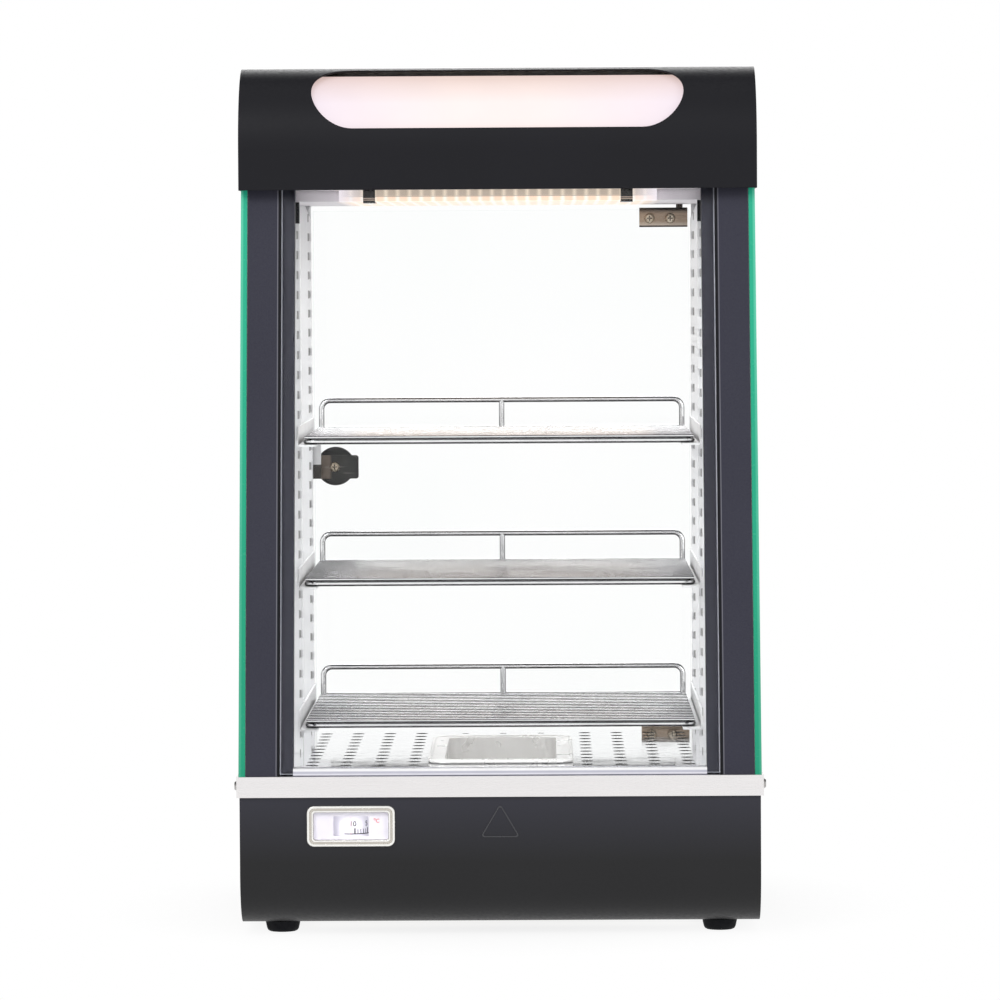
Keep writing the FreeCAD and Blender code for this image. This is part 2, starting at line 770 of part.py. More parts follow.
def base_heater():
    leg_x = 64
    bend = 14
    tube = 4
    front_y = 51.0
    back_y = 268
    z = d.trim_top - 22
    legs = [rod("y", x, front_y + bend, z, back_y - front_y - bend, tube) for x in (-leg_x, leg_x)]
    cross = rod("x", bend - leg_x, front_y, z, 2 * leg_x - 2 * bend, tube)
    corners = [
        elbow(bend - leg_x, front_y + bend, z, bend, tube, Rotation(Vector(0, 0, 1), 180)),
        elbow(leg_x - bend, front_y + bend, z, bend, tube, Rotation(Vector(0, 0, 1), 270)),
    ]
    ends = [rod("y", x, back_y - 0.5, z, 8, 5.5) for x in (-leg_x, leg_x)]
    strap = 9
    strap_low = deck_under - t
    reach = d.deck_opening_half + 8
    hangers = []
    for y in (95, 215):
        for x in (-leg_x, leg_x):
            hangers.append(box((x - 7, x + 7), (y, y + t), (z - 6, deck_under - 0.2)))
        for ends_x in ((-reach, 7 - leg_x), (leg_x - 7, reach)):
            hangers.append(box(ends_x, (y, y + strap), (strap_low, deck_under)))
    sub_part("base_heater", fuse(*legs, cross, *corners, *ends, *hangers))


def fan():
    y = d.fan_y
    half = d.fan_half
    low = d.fan_low
    frame = rounded_box((-half, half), (y - half, y + half), (low, low + d.fan_tall), 4)
    bore = rod("z", 0, y, low - 1, d.fan_tall + 2, half - 2.5)
    corner = half - 5.5
    legs = [rod("z", x, y + shift, base_floor, low - base_floor + 0.5, 3)
            for x in (-corner, corner) for shift in (-corner, corner)]
    motor = rod("z", 0, y, low, 12, 13)
    struts = [box((-half + 1, half - 1), (y - 1.5, y + 1.5), (low, low + 3)),
              box((-1.5, 1.5), (y - half + 1, y + half - 1), (low, low + 3))]
    shaft = rod("z", 0, y, low + 11, 8, 1.5)
    sub_part("fan_housing", fuse(cut(frame, bore), *legs, motor, *struts, shaft))
    hub = cut(rod("z", 0, y, low + 12.6, 8, 14), rod("z", 0, y, low + 12, 7, 1.5 + d.pin_clearance))
    blades = []
    for index in range(FAN_BLADES):
        blade = box((12, half - 4.5), (-5.5, 5.5), (-0.6, 0.6))
        tilted = place(group(blade), 0, 0, 0, Rotation(Vector(1, 0, 0), 32))
        blades.append(moved(tilted, 0, y, low + 16.6,
                            Rotation(Vector(0, 0, 1), index * 360 / FAN_BLADES)))
    sub_part("fan_impeller", fuse(hub, *blades))


# ---- glazed cabinet --------------------------------------------------------------------------

def pillars():
    front = d.pillar_front
    back = front + d.pillar_depth
    step = front + d.front_glass_thick + 0.7
    outline = [(d.pillar_step, front), (d.glass_inner - 0.1, front), (d.glass_inner - 0.1, back),
               (d.pillar_inner, back), (d.pillar_inner, step), (d.pillar_step, step)]
    tall = d.pillar_top - d.trim_top
    solid = prism("XY_Plane", outline, d.trim_top, tall, lean=d.slant)
    chamber = prism("XY_Plane", [(d.pillar_step + 2, front + 2), (d.glass_inner - 2.1, front + 2),
                                 (d.glass_inner - 2.1, back - 2), (d.pillar_inner + 2, back - 2),
                                 (d.pillar_inner + 2, step + 2), (d.pillar_step + 2, step + 2)],
                    d.trim_top, tall, lean=d.slant)
    pillar = cut(solid, chamber)
    sub_part("pillar_right", pillar)
    sub_part("pillar_left", mirrored(pillar))


def front_glass():
    front = d.pillar_front + 0.4 + 1.3 * d.slant
    back = front + d.front_glass_thick
    half = d.front_glass_half
    low = d.trim_top + 1.3
    sub_part("front_glass",
             prism("XY_Plane", [(-half, front), (half, front), (half, back), (-half, back)], low,
                   525 - low, lean=d.slant))


def front_sill():
    front = d.pillar_front - 0.9
    back = front + d.front_glass_thick + 2.8
    half = d.pillar_inner - 0.1
    wall = 1.1
    outer = prism("XY_Plane", [(-half, front), (half, front), (half, back), (-half, back)],
                  d.trim_top, 5, lean=d.slant)
    channel = prism("XY_Plane", [(-half - 1, front + wall), (half + 1, front + wall),
                                 (half + 1, back - wall), (-half - 1, back - wall)],
                    d.trim_top, 7, lean=d.slant)
    floor_strip = box((-half, half), (front + 0.8, back - 0.6), (d.trim_top, d.trim_top + 1.2))
    sub_part("front_sill", fuse(cut(outer, channel), floor_strip))


def side_glass():
    front = d.pillar_front
    top = d.pillar_top
    rise = top - d.trim_top
    outline = [(front, d.trim_top), (d.glass_back, d.trim_top), (d.glass_back, top),
               (front + rise * d.slant, top)]
    pane = prism("YZ_Plane", outline, d.glass_inner, d.glass_outer - d.glass_inner)
    sub_part("side_glass_right", pane)
    sub_part("side_glass_left", mirrored(pane))


def rear_posts():
    inner = d.pillar_inner
    outer = d.glass_inner - 0.1
    post = cut(box((inner, outer), (d.post_front, d.glass_back), (d.trim_top, d.post_top)),
               box((inner + t, outer - t), (d.post_front + t, d.glass_back - t),
                   (d.trim_top - 1, d.post_top + 1)))
    sub_part("rear_posts", pair(post))


def slotted_uprights(label, front):
    """A pair of open channels whose inner corner is notched for the rail hooks."""
    x = d.upright_x
    wall = d.upright_sheet
    back = front + d.upright_depth
    top = d.ceiling_low
    block = box((x, x + d.upright_width), (front, back), (d.floor_top, top))
    hollow = box((x + wall, x + d.upright_width + 1), (front + wall, back - wall),
                 (d.floor_top - 1, top + 1))
    notches = [box((x - 1, x + wall + 1), (front, front + 7),
                   (slot_low(number), slot_low(number) + d.slot_tall)) for number in range(SLOTS)]
    corner = prism("XZ_Plane", [(x - 1, top - 13.5), (x + 5, top + 1), (x - 1, top + 1)],
                   -back - 1, d.upright_depth + 2)
    sub_part(label, pair(cut(block, hollow, corner, *notches)))


def slot_low(number):
    """The bottom edge of a slot; every seventh one carries a shelf rail."""
    return d.shelf_low + 2.2 + (number - 1) * d.slot_pitch


def at_each_level(label, item):
    """Hang the same piece at the height of each shelf."""
    for level, name in enumerate(SHELVES):
        sub_part(f"{label}_{name}", moved(item, z=level * d.shelf_pitch))


def shelf_rails():
    z = d.shelf_low
    outer = d.upright_x - 0.1
    web_x = outer - d.rail_web
    web = box((web_x, outer), (d.rail_front, d.rail_back), (z - d.rail_web, z + d.rail_tall))
    flange = box((d.rail_flange_x, outer), (d.rail_front, d.rail_back), (z - d.rail_web, z))
    slope = prism("YZ_Plane", [(d.rail_front - 1, z + 2), (d.rail_front + 12, z + 14),
                               (d.rail_front - 1, z + 14)], web_x - 1, 4)
    hooks = []
    for upright in (d.front_upright_y, d.rear_upright_y):
        tab = upright + 2
        low = z + 2.3
        hooks.append(box((outer - 0.5, outer + 3), (tab, tab + 3.6), (low, low + 4)))
        hooks.append(box((outer + 1.6, outer + 3), (tab, tab + 3.6), (low - 3, low + 1)))
    at_each_level("shelf_rails", pair(fuse(cut(fuse(web, flange), slope), *hooks)))


def wire_shelves():
    """Cross wires welded on a rod frame, with a guard rail along the back."""
    z = d.shelf_low
    frame_r = d.frame_rod
    wire_r = d.wire_rod
    half = d.shelf_half - frame_r
    front = d.shelf_front + frame_r
    back = d.shelf_back - frame_r
    pieces = rod_loop(half, (front, back), z + frame_r, 6, frame_r)
    wire_z = z + 2 * frame_r + wire_r - WELD
    for number in range(SHELF_WIRES):
        y = front + number * (back - front) / (SHELF_WIRES - 1)
        pieces.append(rod("x", 1 - d.shelf_half, y, wire_z, 2 * d.shelf_half - 2, wire_r))
    pieces.append(rod("y", 0, front, z + frame_r, back - front, frame_r))
    guard_x = d.guard_half - frame_r
    guard_z = z + d.guard_tall - frame_r
    bend = 6.5
    foot_z = z + frame_r
    for x in (-guard_x, guard_x):
        pieces.append(rod("z", x, back, foot_z, guard_z - bend - foot_z, frame_r))
    pieces.append(rod("z", 0, back, foot_z, guard_z - foot_z, frame_r))
    pieces.append(rod("x", bend - guard_x, back, guard_z, 2 * guard_x - 2 * bend, frame_r))
    upright = Rotation(Vector(1, 0, 0), 90)
    pieces.append(elbow(guard_x - bend, back, guard_z - bend, bend, frame_r, upright))
    pieces.append(elbow(bend - guard_x, back, guard_z - bend, bend, frame_r,
                        upright.multiply(Rotation(Vector(0, 0, 1), 90))))
    at_each_level("shelf", fuse(*pieces))


# ---- rear door -------------------------------------------------------------------------------

def door_glass():
    pane = box((-d.door_half, d.door_half), (d.door_front, door_back), (d.door_low, d.door_top))
    holes = [rod("y", x, d.door_front - 1, z, d.door_thick + 2, d.screw_radius + 0.6)
             for x in (d.door_screw_near, d.door_screw_far) for z in door_screw_heights]
    holes.append(rod("y", d.knob_x, d.door_front - 1, d.knob_z, d.door_thick + 2, d.screw_radius + 0.6))
    sub_part("door_glass", cut(pane, *holes))


def hinge_clamp(label, upper):
    """A folded clamp over the pane's edge, with the pivot pin standing on it."""
    if upper:
        low, high = d.door_top - d.clamp_tall + 1.4, d.door_top + 1.4
        pane_z = (low - 1, d.door_top + 0.1)
        pin = rod("z", d.hinge_x, hinge_y, high - 0.4, d.ceiling_low + t - high + 1.4, d.hinge_pin_radius)
    else:
        low, high = d.door_low - 1.4, d.door_low + d.clamp_tall - 1.4
        pane_z = (d.door_low - 0.1, high + 1)
        pin = rod("z", d.hinge_x, hinge_y, deck_under - 1, low - deck_under + 1.4, d.hinge_pin_radius)
    profile = [(clamp_front, low + d.clamp_low_edge), (clamp_front + d.clamp_low_edge, low),
               (clamp_back, low), (clamp_back, high), (clamp_front + d.clamp_top_edge, high),
               (clamp_front, high - d.clamp_top_edge)]
    block = prism("YZ_Plane", profile, d.clamp_inner, d.clamp_outer - d.clamp_inner)
    slot = box((d.clamp_inner - 1, d.clamp_outer + 1), (d.door_front - 0.1, door_back + 0.1), pane_z)
    screw_z = door_screw_heights[1] if upper else door_screw_heights[0]
    holes = [rod("y", x, clamp_front - 1, screw_z, 12, screw_hole)
             for x in (d.door_screw_near, d.door_screw_far)]
    sub_part(label, fuse(cut(block, slot, *holes), pin))


def door_screws():
    solids = [screw("y", x, clamp_front, z, 10, flip=True)
              for x in (d.door_screw_near, d.door_screw_far) for z in door_screw_heights]
    solids.append(screw("y", d.knob_x, d.door_front - 1.2, d.knob_z, 14, flip=True))
    sub_part("door_screws", *solids)


def door_knob():
    x = d.knob_x
    z = d.knob_z
    washer = rod("y", x, door_back, z, 1.6, 9)
    neck = cone("y", x, door_back + 1.4, z, d.knob_long - 10, 7, 6)
    head = rod("y", x, door_back + d.knob_long - 9, z, 6, d.knob_radius)
    crown = cone("y", x, door_back + d.knob_long - 3, z, 3, d.knob_radius, d.knob_radius - 3)
    bore = rod("y", x, door_back - 1, z, 10.2, d.screw_radius)
    sub_part("door_knob", cut(fuse(washer, neck, head, crown), bore))


def strike_plate():
    half_tall = d.strike_tall / 2
    plate = rounded_front_box((d.knob_x - 11, d.knob_x + 18), (d.door_front - 1.2, d.door_front),
                              (d.knob_z - half_tall, d.knob_z + half_tall), 2)
    hole = rod("y", d.knob_x, d.door_front - 3, d.knob_z, 6, screw_hole)
    sub_part("strike_plate", cut(plate, hole))


def magnet_catch():
    back = d.door_front - 1.5
    inner = -d.pillar_inner
    case = box((inner, inner + 7), (back - 9, back - 2), (d.knob_z - 8.5, d.knob_z + 18))
    poles = box((inner + 1, inner + 6.6), (back - 3, back), (d.knob_z - 8, d.knob_z + 5.5))
    sub_part("magnet_catch", fuse(case, poles))


# ---- hood ------------------------------------------------------------------------------------

def hood_outline(inset, low, back):
    front = d.hood_front + inset
    top = d.hood_top - inset
    return [(front, low), (back, low), (back, top), (front, top)]


def hood_shell():
    outer = prism("YZ_Plane", hood_outline(0, d.hood_low, d.hood_back), 0, 2 * d.hood_half,
                  [(d.hood_front, d.hood_top, d.hood_radius)], both_ways=True)
    inner = prism("YZ_Plane", hood_outline(t, d.hood_low - 1, d.hood_back + 1), 0,
                  2 * d.hood_half - 2 * t, [(d.hood_front + t, d.hood_top - t, d.hood_radius - t)],
                  both_ways=True)
    window = rounded_box((-d.sign_half, d.sign_half), (-d.sign_tall / 2, d.sign_tall / 2),
                         (d.hood_radius - 14, d.hood_radius + 14), d.sign_tall / 2 - 0.3)
    aimed = moved(window, 0, arc_y, arc_z, Rotation(Vector(1, 0, 0), 90 - d.sign_angle.value))
    aimed.setExpression("Placement.Rotation.Angle", (90 - d.sign_angle).text)
    sub_part("hood_shell", cut(outer, inner, aimed))


def hood_rear_panel():
    front = hood_rear_face - t
    half = d.hood_half - t - 0.2
    panel = tray_sheet_panel(half, front, hood_rear_face, d.ceiling_low + 2, d.hood_top - t - 0.1, 0.9)
    slot_wide, slot_pitch = 4, 14
    slots = [box((x, x + slot_wide), (front - 2, hood_rear_face + 1), (d.hood_low + 31, d.hood_top - 26))
             for x in (slot_pitch * (index - HOOD_SLOTS // 2) - slot_wide / 2 for index in range(HOOD_SLOTS))]
    screws = [rod("y", x, front - 2, z, 6, screw_hole) for x, z in hood_screws]
    sub_part("hood_rear_panel", cut(panel, *slots, *screws))


def light_panel():
    """The curved diffuser behind the hood's lit window."""
    outer = d.hood_radius - t - d.sign_gap
    half = d.sign_half + 9
    length = 2 * half
    solid = rod("x", -half, arc_y, arc_z, length, outer)
    hollow = rod("x", -half - 1, arc_y, arc_z, length + 2, outer - d.sign_sheet)
    wedge = box((-half - 2, half + 2), (arc_y - 60, arc_y - 14), (arc_z + 2, arc_z + 60))
    sub_part("light_panel", common(cut(solid, hollow), wedge))


def sign_led_board():
    y = arc_y + 12
    half = d.sign_half - 8
    top = arc_z + 32
    led, led_pitch = 4, 22
    board = box((-half, half), (y, y + 1.6), (arc_z - 8, top))
    bracket = box((-half, half), (y + 1.4, y + 2.8), (d.ceiling_low + t, top))
    foot = box((-half, half), (y + 1.4, y + 18), (d.ceiling_low + t, d.ceiling_low + 2 * t))
    leds = [box((x - led / 2, x + led / 2), (y - 1, y + 0.2), (z, z + led))
            for x in (led_pitch * (index - SIGN_LEDS // 2) for index in range(SIGN_LEDS))
            for z in (arc_z, arc_z + 20)]
    sub_part("sign_led_board", fuse(board, bracket, foot, *leds))


def ceiling_plate():
    """One folded sheet: the flat ceiling, a step up over the lamp and a flange at the back."""
    half = d.ceiling_half
    low = d.ceiling_low
    lamp_half = d.pillar_inner - 1.2
    main = box((-half, half), (d.ceiling_front, d.ceiling_back), (low, low + t))
    riser = box((-half, half), (d.ceiling_front, d.ceiling_front + t), (low, light_top))
    roof = box((-lamp_half, lamp_half), (d.light_front, d.ceiling_front + t), (d.hood_low, light_top))
    rear = box((-half, half), (d.ceiling_back - t, d.ceiling_back), (low, low + 18))
    sides = [box((x, x + t), (d.ceiling_front, d.ceiling_back), (low, low + 16))
             for x in (-half, half - t)]
    pin_hole = rod("z", d.hinge_x, hinge_y, low - 1, 4, d.hinge_pin_radius + d.pin_clearance)
    sub_part("ceiling_plate", cut(fuse(main, riser, roof, rear, *sides), pin_hole))


def ceiling_light():
    half = d.light_half
    wall = 1.2
    front, back = d.light_front, d.light_back
    cover = cut(box((-half, half), (front, back), (d.light_low, d.hood_low)),
                box((wall - half, half - wall), (front + wall, back - wall),
                    (d.light_low + wall, d.hood_low + 1)))
    sub_part("light_cover", cover)
    board_z = d.hood_low - 1.2
    board = box((4 - half, half - 4), (front + 6, back - 6), (board_z, d.hood_low - 0.1))
    chip = 2.8
    leds = []
    for index in range(LED_COUNT):
        x = (index - (LED_COUNT - 1) / 2) * d.led_pitch
        for y in (front + 9, back - 9 - chip):
            leds.append(box((x - chip / 2, x + chip / 2), (y, y + chip), (board_z - 0.9, board_z + 0.1)))
    sub_part("led_strip", fuse(board, *leds))
    clip_half = d.clip_wide / 2
    clip = cut(box((d.clip_x - clip_half, d.clip_x + clip_half), (front - 1.3, back + 0.9),
                   (d.light_low - 1.2, d.hood_low)),
               box((d.clip_x - d.clip_wide, d.clip_x + d.clip_wide), (front - 0.1, back + 0.1),
                   (d.light_low - 0.1, d.hood_low + 1)))
    sub_part("light_clips", pair(clip))


def top_pads():
    """Rubber pads behind the pillars that steady the side glass."""
    wide, deep, tall = 9, 12, 15
    front = 112
    pad = box((d.pillar_inner - 2, d.pillar_inner - 2 + wide), (front, front + deep),
              (d.ceiling_low - 0.5 - tall, d.ceiling_low - 0.5))
    sub_part("top_pads", pair(pad))


# ---- build -----------------------------------------------------------------------------------

base_shell()
bottom_plate()
feet()
case_screws()
control_panel()
thermostat()
thermostat_probe()
rocker_switch("power_rocker", "power_switch_housing", d.power_x)
rocker_switch("light_rocker", "light_switch_housing", d.light_switch_x)
indicator_lamp()
cable_gland()
terminal_block()
led_driver()
thermometer()
deck_pan()
floor_plate()
water_tray()
base_heater()
fan()
pillars()
front_glass()
front_sill()
side_glass()
rear_posts()
slotted_uprights("front_uprights", d.front_upright_y)
slotted_uprights("rear_uprights", d.rear_upright_y)
shelf_rails()
wire_shelves()
door_glass()
hinge_clamp("top_hinge_clamp", True)
hinge_clamp("bottom_hinge_clamp", False)
door_screws()
door_knob()
strike_plate()
magnet_catch()
hood_shell()
hood_rear_panel()
light_panel()
sign_led_board()
ceiling_plate()
ceiling_light()
top_pads()

doc.recompute()

failed = [item for item in doc.Objects if "Invalid" in item.State or "Error" in item.State]
for item in failed:
    print("failed:", item.Label, item.State, "used by", [user.Label for user in item.InListRecursive])
if failed:
    raise RuntimeError(f"{len(failed)} objects did not recompute")

os.makedirs("parts", exist_ok=True)
for part in sub_parts:
    if part.Shape.isNull() or not part.Shape.isValid() or not part.Shape.Solids:
        raise RuntimeError(f"{part.Label} has no valid solid")
    part.Shape.exportStep(os.path.join("parts", f"{part.Label}.step"))
    solids = len(part.Shape.Solids)
    print(f"{part.Label}: {solids} solid(s), {part.Shape.Volume:.0f} mm3")
print(len(sub_parts), "sub-parts")
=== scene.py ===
import json
import math

import bmesh
import bpy
from mathutils import Euler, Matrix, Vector


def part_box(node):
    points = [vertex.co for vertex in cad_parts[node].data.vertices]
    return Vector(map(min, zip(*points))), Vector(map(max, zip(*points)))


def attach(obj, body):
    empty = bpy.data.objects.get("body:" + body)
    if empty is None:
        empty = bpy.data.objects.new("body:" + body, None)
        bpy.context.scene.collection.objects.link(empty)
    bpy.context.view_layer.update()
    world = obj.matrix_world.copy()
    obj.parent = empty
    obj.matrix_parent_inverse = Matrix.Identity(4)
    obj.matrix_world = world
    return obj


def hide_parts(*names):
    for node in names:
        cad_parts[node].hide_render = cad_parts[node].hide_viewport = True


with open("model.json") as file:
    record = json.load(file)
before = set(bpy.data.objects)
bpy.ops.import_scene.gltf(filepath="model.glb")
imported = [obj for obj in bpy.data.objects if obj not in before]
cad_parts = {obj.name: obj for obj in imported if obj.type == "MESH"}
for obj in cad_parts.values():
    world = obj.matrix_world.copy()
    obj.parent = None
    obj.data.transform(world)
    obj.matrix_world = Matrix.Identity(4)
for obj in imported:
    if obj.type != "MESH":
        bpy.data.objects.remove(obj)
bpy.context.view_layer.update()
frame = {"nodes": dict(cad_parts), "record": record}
nodes = frame["nodes"]
MM = 0.001
CLAMP_TALL = 14.5 * MM
HALF_LED_PITCH = 4.15 * MM
SLOT_PITCH = 14.25 * MM                  # slots punched in the uprights
SLOT_TALL = 5.6 * MM
FIRST_SLOT = 141.2 * MM                  # bottom of the lowest slot
GLASS_SLOPE = 0.2097                     # how far the front glass leans back per unit of height
GLASS_EDGE_X = (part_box("side_glass_right")[0].x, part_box("side_glass_right")[1].x)
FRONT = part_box("deck_pan")[0].y          # front plane of the steel trim
CAMERA_AWAY = 3.6                        # from the trim to the camera
BRUSHING = (3, 260, 260)                 # stretches noise into scratches along X

# ---------------------------------------------------------------- node materials


class Nodes:
    """An emptied shader tree under construction: add() makes one node and wires its inputs."""

    def __init__(self, tree):
        self.tree = tree
        tree.nodes.clear()

    def add(self, kind, inputs=None, **settings):
        node = self.tree.nodes.new("ShaderNode" + kind)
        for setting, value in settings.items():
            setattr(node, setting, value)
        for socket, value in (inputs or {}).items():
            if isinstance(value, bpy.types.NodeSocket):
                self.tree.links.new(value, node.inputs[socket])
            else:
                node.inputs[socket].default_value = value
        return node

    def math(self, operation, first, second=0.0):
        return self.add("Math", {0: first, 1: second}, operation=operation).outputs[0]

    def remap(self, value, low, high, to_low=0.0, to_high=1.0):
        inputs = {"Value": value, "From Min": low, "From Max": high, "To Min": to_low, "To Max": to_high}
        return self.add("MapRange", inputs).outputs["Result"]


class Surface(Nodes):
    """A node material, with the patterns that the finishes are made of."""

    def __init__(self, name):
        self.material = bpy.data.materials.new(name)
        self.material.use_nodes = True
        super().__init__(self.material.node_tree)
        self.place = self.add("TexCoord").outputs["Object"]

    def noise(self, scale, stretch=(1, 1, 1), detail=3.0, low=0.0, high=1.0):
        """Noise between low and high. scale is in features per metre, stretch squeezes it per axis."""
        where = self.add("Mapping", {"Vector": self.place, "Scale": stretch}).outputs["Vector"]
        value = self.add("TexNoise", {"Vector": where, "Scale": scale, "Detail": detail}).outputs[0]
        return self.remap(value, 0.3, 0.7, low, high)

    def band(self, value, start, rise, fall, end):
        """1 between rise and fall, fading to 0 at start and at end."""
        return self.math("MULTIPLY", self.remap(value, start, rise), self.remap(value, end, fall))

    def chips(self, low, high):
        """1 at every lamp chip along X; low and high say how far the blur reaches, from 0 to 1."""
        off = self.math("PINGPONG", self.axis("X"), HALF_LED_PITCH)
        return self.remap(off, low * HALF_LED_PITCH, high * HALF_LED_PITCH)

    def mix(self, factor, first, second):
        """Colour between first and second."""
        inputs = {0: factor, 6: colour(first), 7: colour(second)}
        return self.add("Mix", inputs, data_type="RGBA").outputs[2]

    def bump(self, height, depth, strength, normal=None):
        inputs = {"Height": height, "Distance": depth, "Strength": strength}
        if normal is not None:
            inputs["Normal"] = normal
        return self.add("Bump", inputs).outputs["Normal"]

    def edges(self, radius, low=0.02, high=0.3):
        """1 along sharp edges and 0 on flat places, and the normal rounded over that radius."""
        rounded = self.add("Bevel", {"Radius": radius}, samples=4).outputs["Normal"]
        true = self.add("NewGeometry").outputs["Normal"]
        turn = self.add("VectorMath", {0: rounded, 1: true}, operation="DOT_PRODUCT").outputs["Value"]
        return self.remap(self.math("SUBTRACT", 1.0, turn), low, high), rounded

    def axis(self, name):
        return self.add("SeparateXYZ", {"Vector": self.place}).outputs[name]

    def facing(self, name):
        """How far the surface faces along one of the object's axes, from -1 to 1."""
        normal = self.add("TexCoord").outputs["Normal"]
        return self.add("SeparateXYZ", {"Vector": normal}).outputs[name]

    def corners(self, reach):
        """1 in the open and less in recesses and corners narrower than reach."""
        return self.add("AmbientOcclusion", {"Distance": reach}, samples=6).outputs["AO"]

    def finish(self, shader):
        self.tree.links.new(shader, self.add("OutputMaterial").inputs["Surface"])
        return self.material


def colour(value):
    return value if isinstance(value, bpy.types.NodeSocket) or len(value) == 4 else (*value, 1.0)


def coated(name, base, light, specular=0.3, upper=None):
    """Powder coated sheet: fine orange-peel grain, faint cloudiness, slightly rubbed edges.
    upper is (colour, low, high): a painted lighter tint that comes in between two heights, standing in for
    light falling on the upper part."""
    s = Surface(name)
    worn, rounded = s.edges(0.9 * MM)
    cloud = s.noise(9, detail=2)
    fleck = s.noise(1900, detail=2)
    tone = s.mix(s.math("MULTIPLY", cloud, 0.35), base, light)
    tone = s.mix(s.math("MULTIPLY", fleck, 0.16), tone, light)
    tone = s.mix(s.math("MULTIPLY", worn, 0.18), tone, [2.6 * c for c in light])
    # painted light: the upper part is tinted lighter, as if light falls on it
    if upper:
        tint, low, high = upper
        tone = s.mix(s.remap(s.axis("Z"), low, high), tone, tint)
    peel = s.noise(950, detail=3)
    inputs = {
        "Base Color": tone,
        "Roughness": s.noise(420, low=0.40, high=0.52),
        "Specular IOR Level": specular,
        "Normal": s.bump(peel, 0.05 * MM, 0.10, rounded),
    }
    return s.finish(s.add("BsdfPrincipled", inputs).outputs[0])


def pillar_coat(name):
    """Finely textured coat of the pillars, with painted shade: darker towards the inner side and a dark
    line in the groove beside the front glass, and pale painted highlights along the groove's lips.
    """
    s = Surface(name)
    fleck = s.noise(1500, detail=2)
    cloud = s.noise(12, detail=2)
    tone = s.mix(s.math("MULTIPLY", cloud, 0.4), (0.027, 0.027, 0.042), (0.037, 0.037, 0.055))
    tone = s.mix(s.math("MULTIPLY", fleck, 0.35), tone, (0.055, 0.055, 0.072))
    out = s.math("ABSOLUTE", s.axis("X"))
    groove = s.band(out, 152.2 * MM, 152.5 * MM, 153.8 * MM, 154.3 * MM)
    # painted shade: darker towards the inner side, and a dark line in the groove
    tone = s.mix(s.remap(out, 152.0 * MM, 151.0 * MM, 0.0, 0.55), tone, (0.012, 0.012, 0.018))
    tone = s.mix(groove, tone, (0.004, 0.004, 0.006))
    # painted highlights along the two lips of the groove
    inner_lip = s.band(out, 151.3 * MM, 151.5 * MM, 152.1 * MM, 152.3 * MM)
    outer_lip = s.band(out, 154.2 * MM, 154.4 * MM, 154.8 * MM, 155.0 * MM)
    tone = s.mix(s.math("MULTIPLY", inner_lip, 0.85), tone, (0.40, 0.40, 0.45))
    tone = s.mix(s.math("MULTIPLY", outer_lip, 0.45), tone, (0.30, 0.30, 0.34))
    return s.finish(s.add("BsdfPrincipled", {
        "Base Color": tone,
        "Roughness": s.noise(700, low=0.5, high=0.66),
        "Specular IOR Level": 0.18,
        "Normal": s.bump(s.noise(1100, detail=2), 0.06 * MM, 0.25, s.edges(0.6 * MM)[1]),
    }).outputs[0])


def brushed(name, base, dark):
    """Brushed steel: fine scratches along X, with cloudy handling marks."""
    s = Surface(name)
    fine = s.noise(9, stretch=BRUSHING, detail=4)
    broad = s.noise(14, detail=3)
    tone = s.mix(s.math("MULTIPLY", fine, 0.5), base, dark)
    tone = s.mix(s.math("MULTIPLY", broad, 0.15), tone, dark)
    shine = s.math("ADD", s.noise(9, stretch=BRUSHING, detail=4, low=0.2, high=0.34),
                   s.noise(30, detail=2, low=-0.03, high=0.03))
    inputs = {
        "Base Color": tone,
        "Metallic": 1.0,
        "Roughness": shine,
        "Normal": s.bump(fine, 0.012 * MM, 0.5),
    }
    return s.finish(s.add("BsdfPrincipled", inputs).outputs[0])


def polished(name, base, dark):
    """Bright sheet: nearly a mirror, with slight waves in the surface and fine haze."""
    s = Surface(name)
    haze = s.noise(60, detail=4)
    inputs = {
        "Base Color": s.mix(s.math("MULTIPLY", haze, 0.4), base, dark),
        "Metallic": 1.0,
        "Roughness": s.noise(160, detail=3, low=0.05, high=0.13),
        "Normal": s.bump(s.noise(26, detail=1), 0.25 * MM, 0.35),
    }
    return s.finish(s.add("BsdfPrincipled", inputs).outputs[0])


def wire_chrome(name):
    """Chromed rod with a painted reflection: bright along its crown and middle with dark bands between, set
    by which way the surface faces, and painted shade darkening it in joints.
    """
    s = Surface(name)
    # painted reflection: bright and dark bands set by which way the surface faces
    up = s.facing("Z")
    side = s.math("ABSOLUTE", s.facing("X"))
    middle = s.remap(s.math("ABSOLUTE", up), 0.42, 0.22)
    crown = s.remap(up, 0.72, 0.86)
    light = s.math("MULTIPLY", s.math("MAXIMUM", middle, crown), s.remap(side, 0.84, 0.62))
    waver = s.noise(40, detail=1, low=0.84, high=1.0)
    light = s.math("MULTIPLY", light, waver)
    tone = s.mix(light, (0.11, 0.11, 0.115), (0.86, 0.86, 0.87))
    # painted shade in the joints between wires
    tone = s.mix(s.remap(s.corners(3 * MM), 0.6, 0.2, 0.0, 0.5), tone, (0.06, 0.06, 0.06))
    return s.finish(s.add("BsdfPrincipled", {
        "Base Color": tone,
        "Metallic": 1.0,
        "Roughness": s.noise(160, detail=3, low=0.16, high=0.24),
        "Normal": s.bump(s.noise(120, detail=1), 0.02 * MM, 0.3),
    }).outputs[0])


def moulded(name, base, light, rough=(0.35, 0.5), coat=0.0, specular=0.5):
    """Moulded plastic or rubber with a fine spark-eroded grain."""
    s = Surface(name)
    cloud = s.noise(40, detail=2)
    inputs = {
        "Base Color": s.mix(s.math("MULTIPLY", cloud, 0.5), base, light),
        "Roughness": s.noise(300, low=rough[0], high=rough[1]),
        "Specular IOR Level": specular,
        "Coat Weight": coat,
        "Normal": s.bump(s.noise(1600, detail=2), 0.04 * MM, 0.2),
    }
    return s.finish(s.add("BsdfPrincipled", inputs).outputs[0])


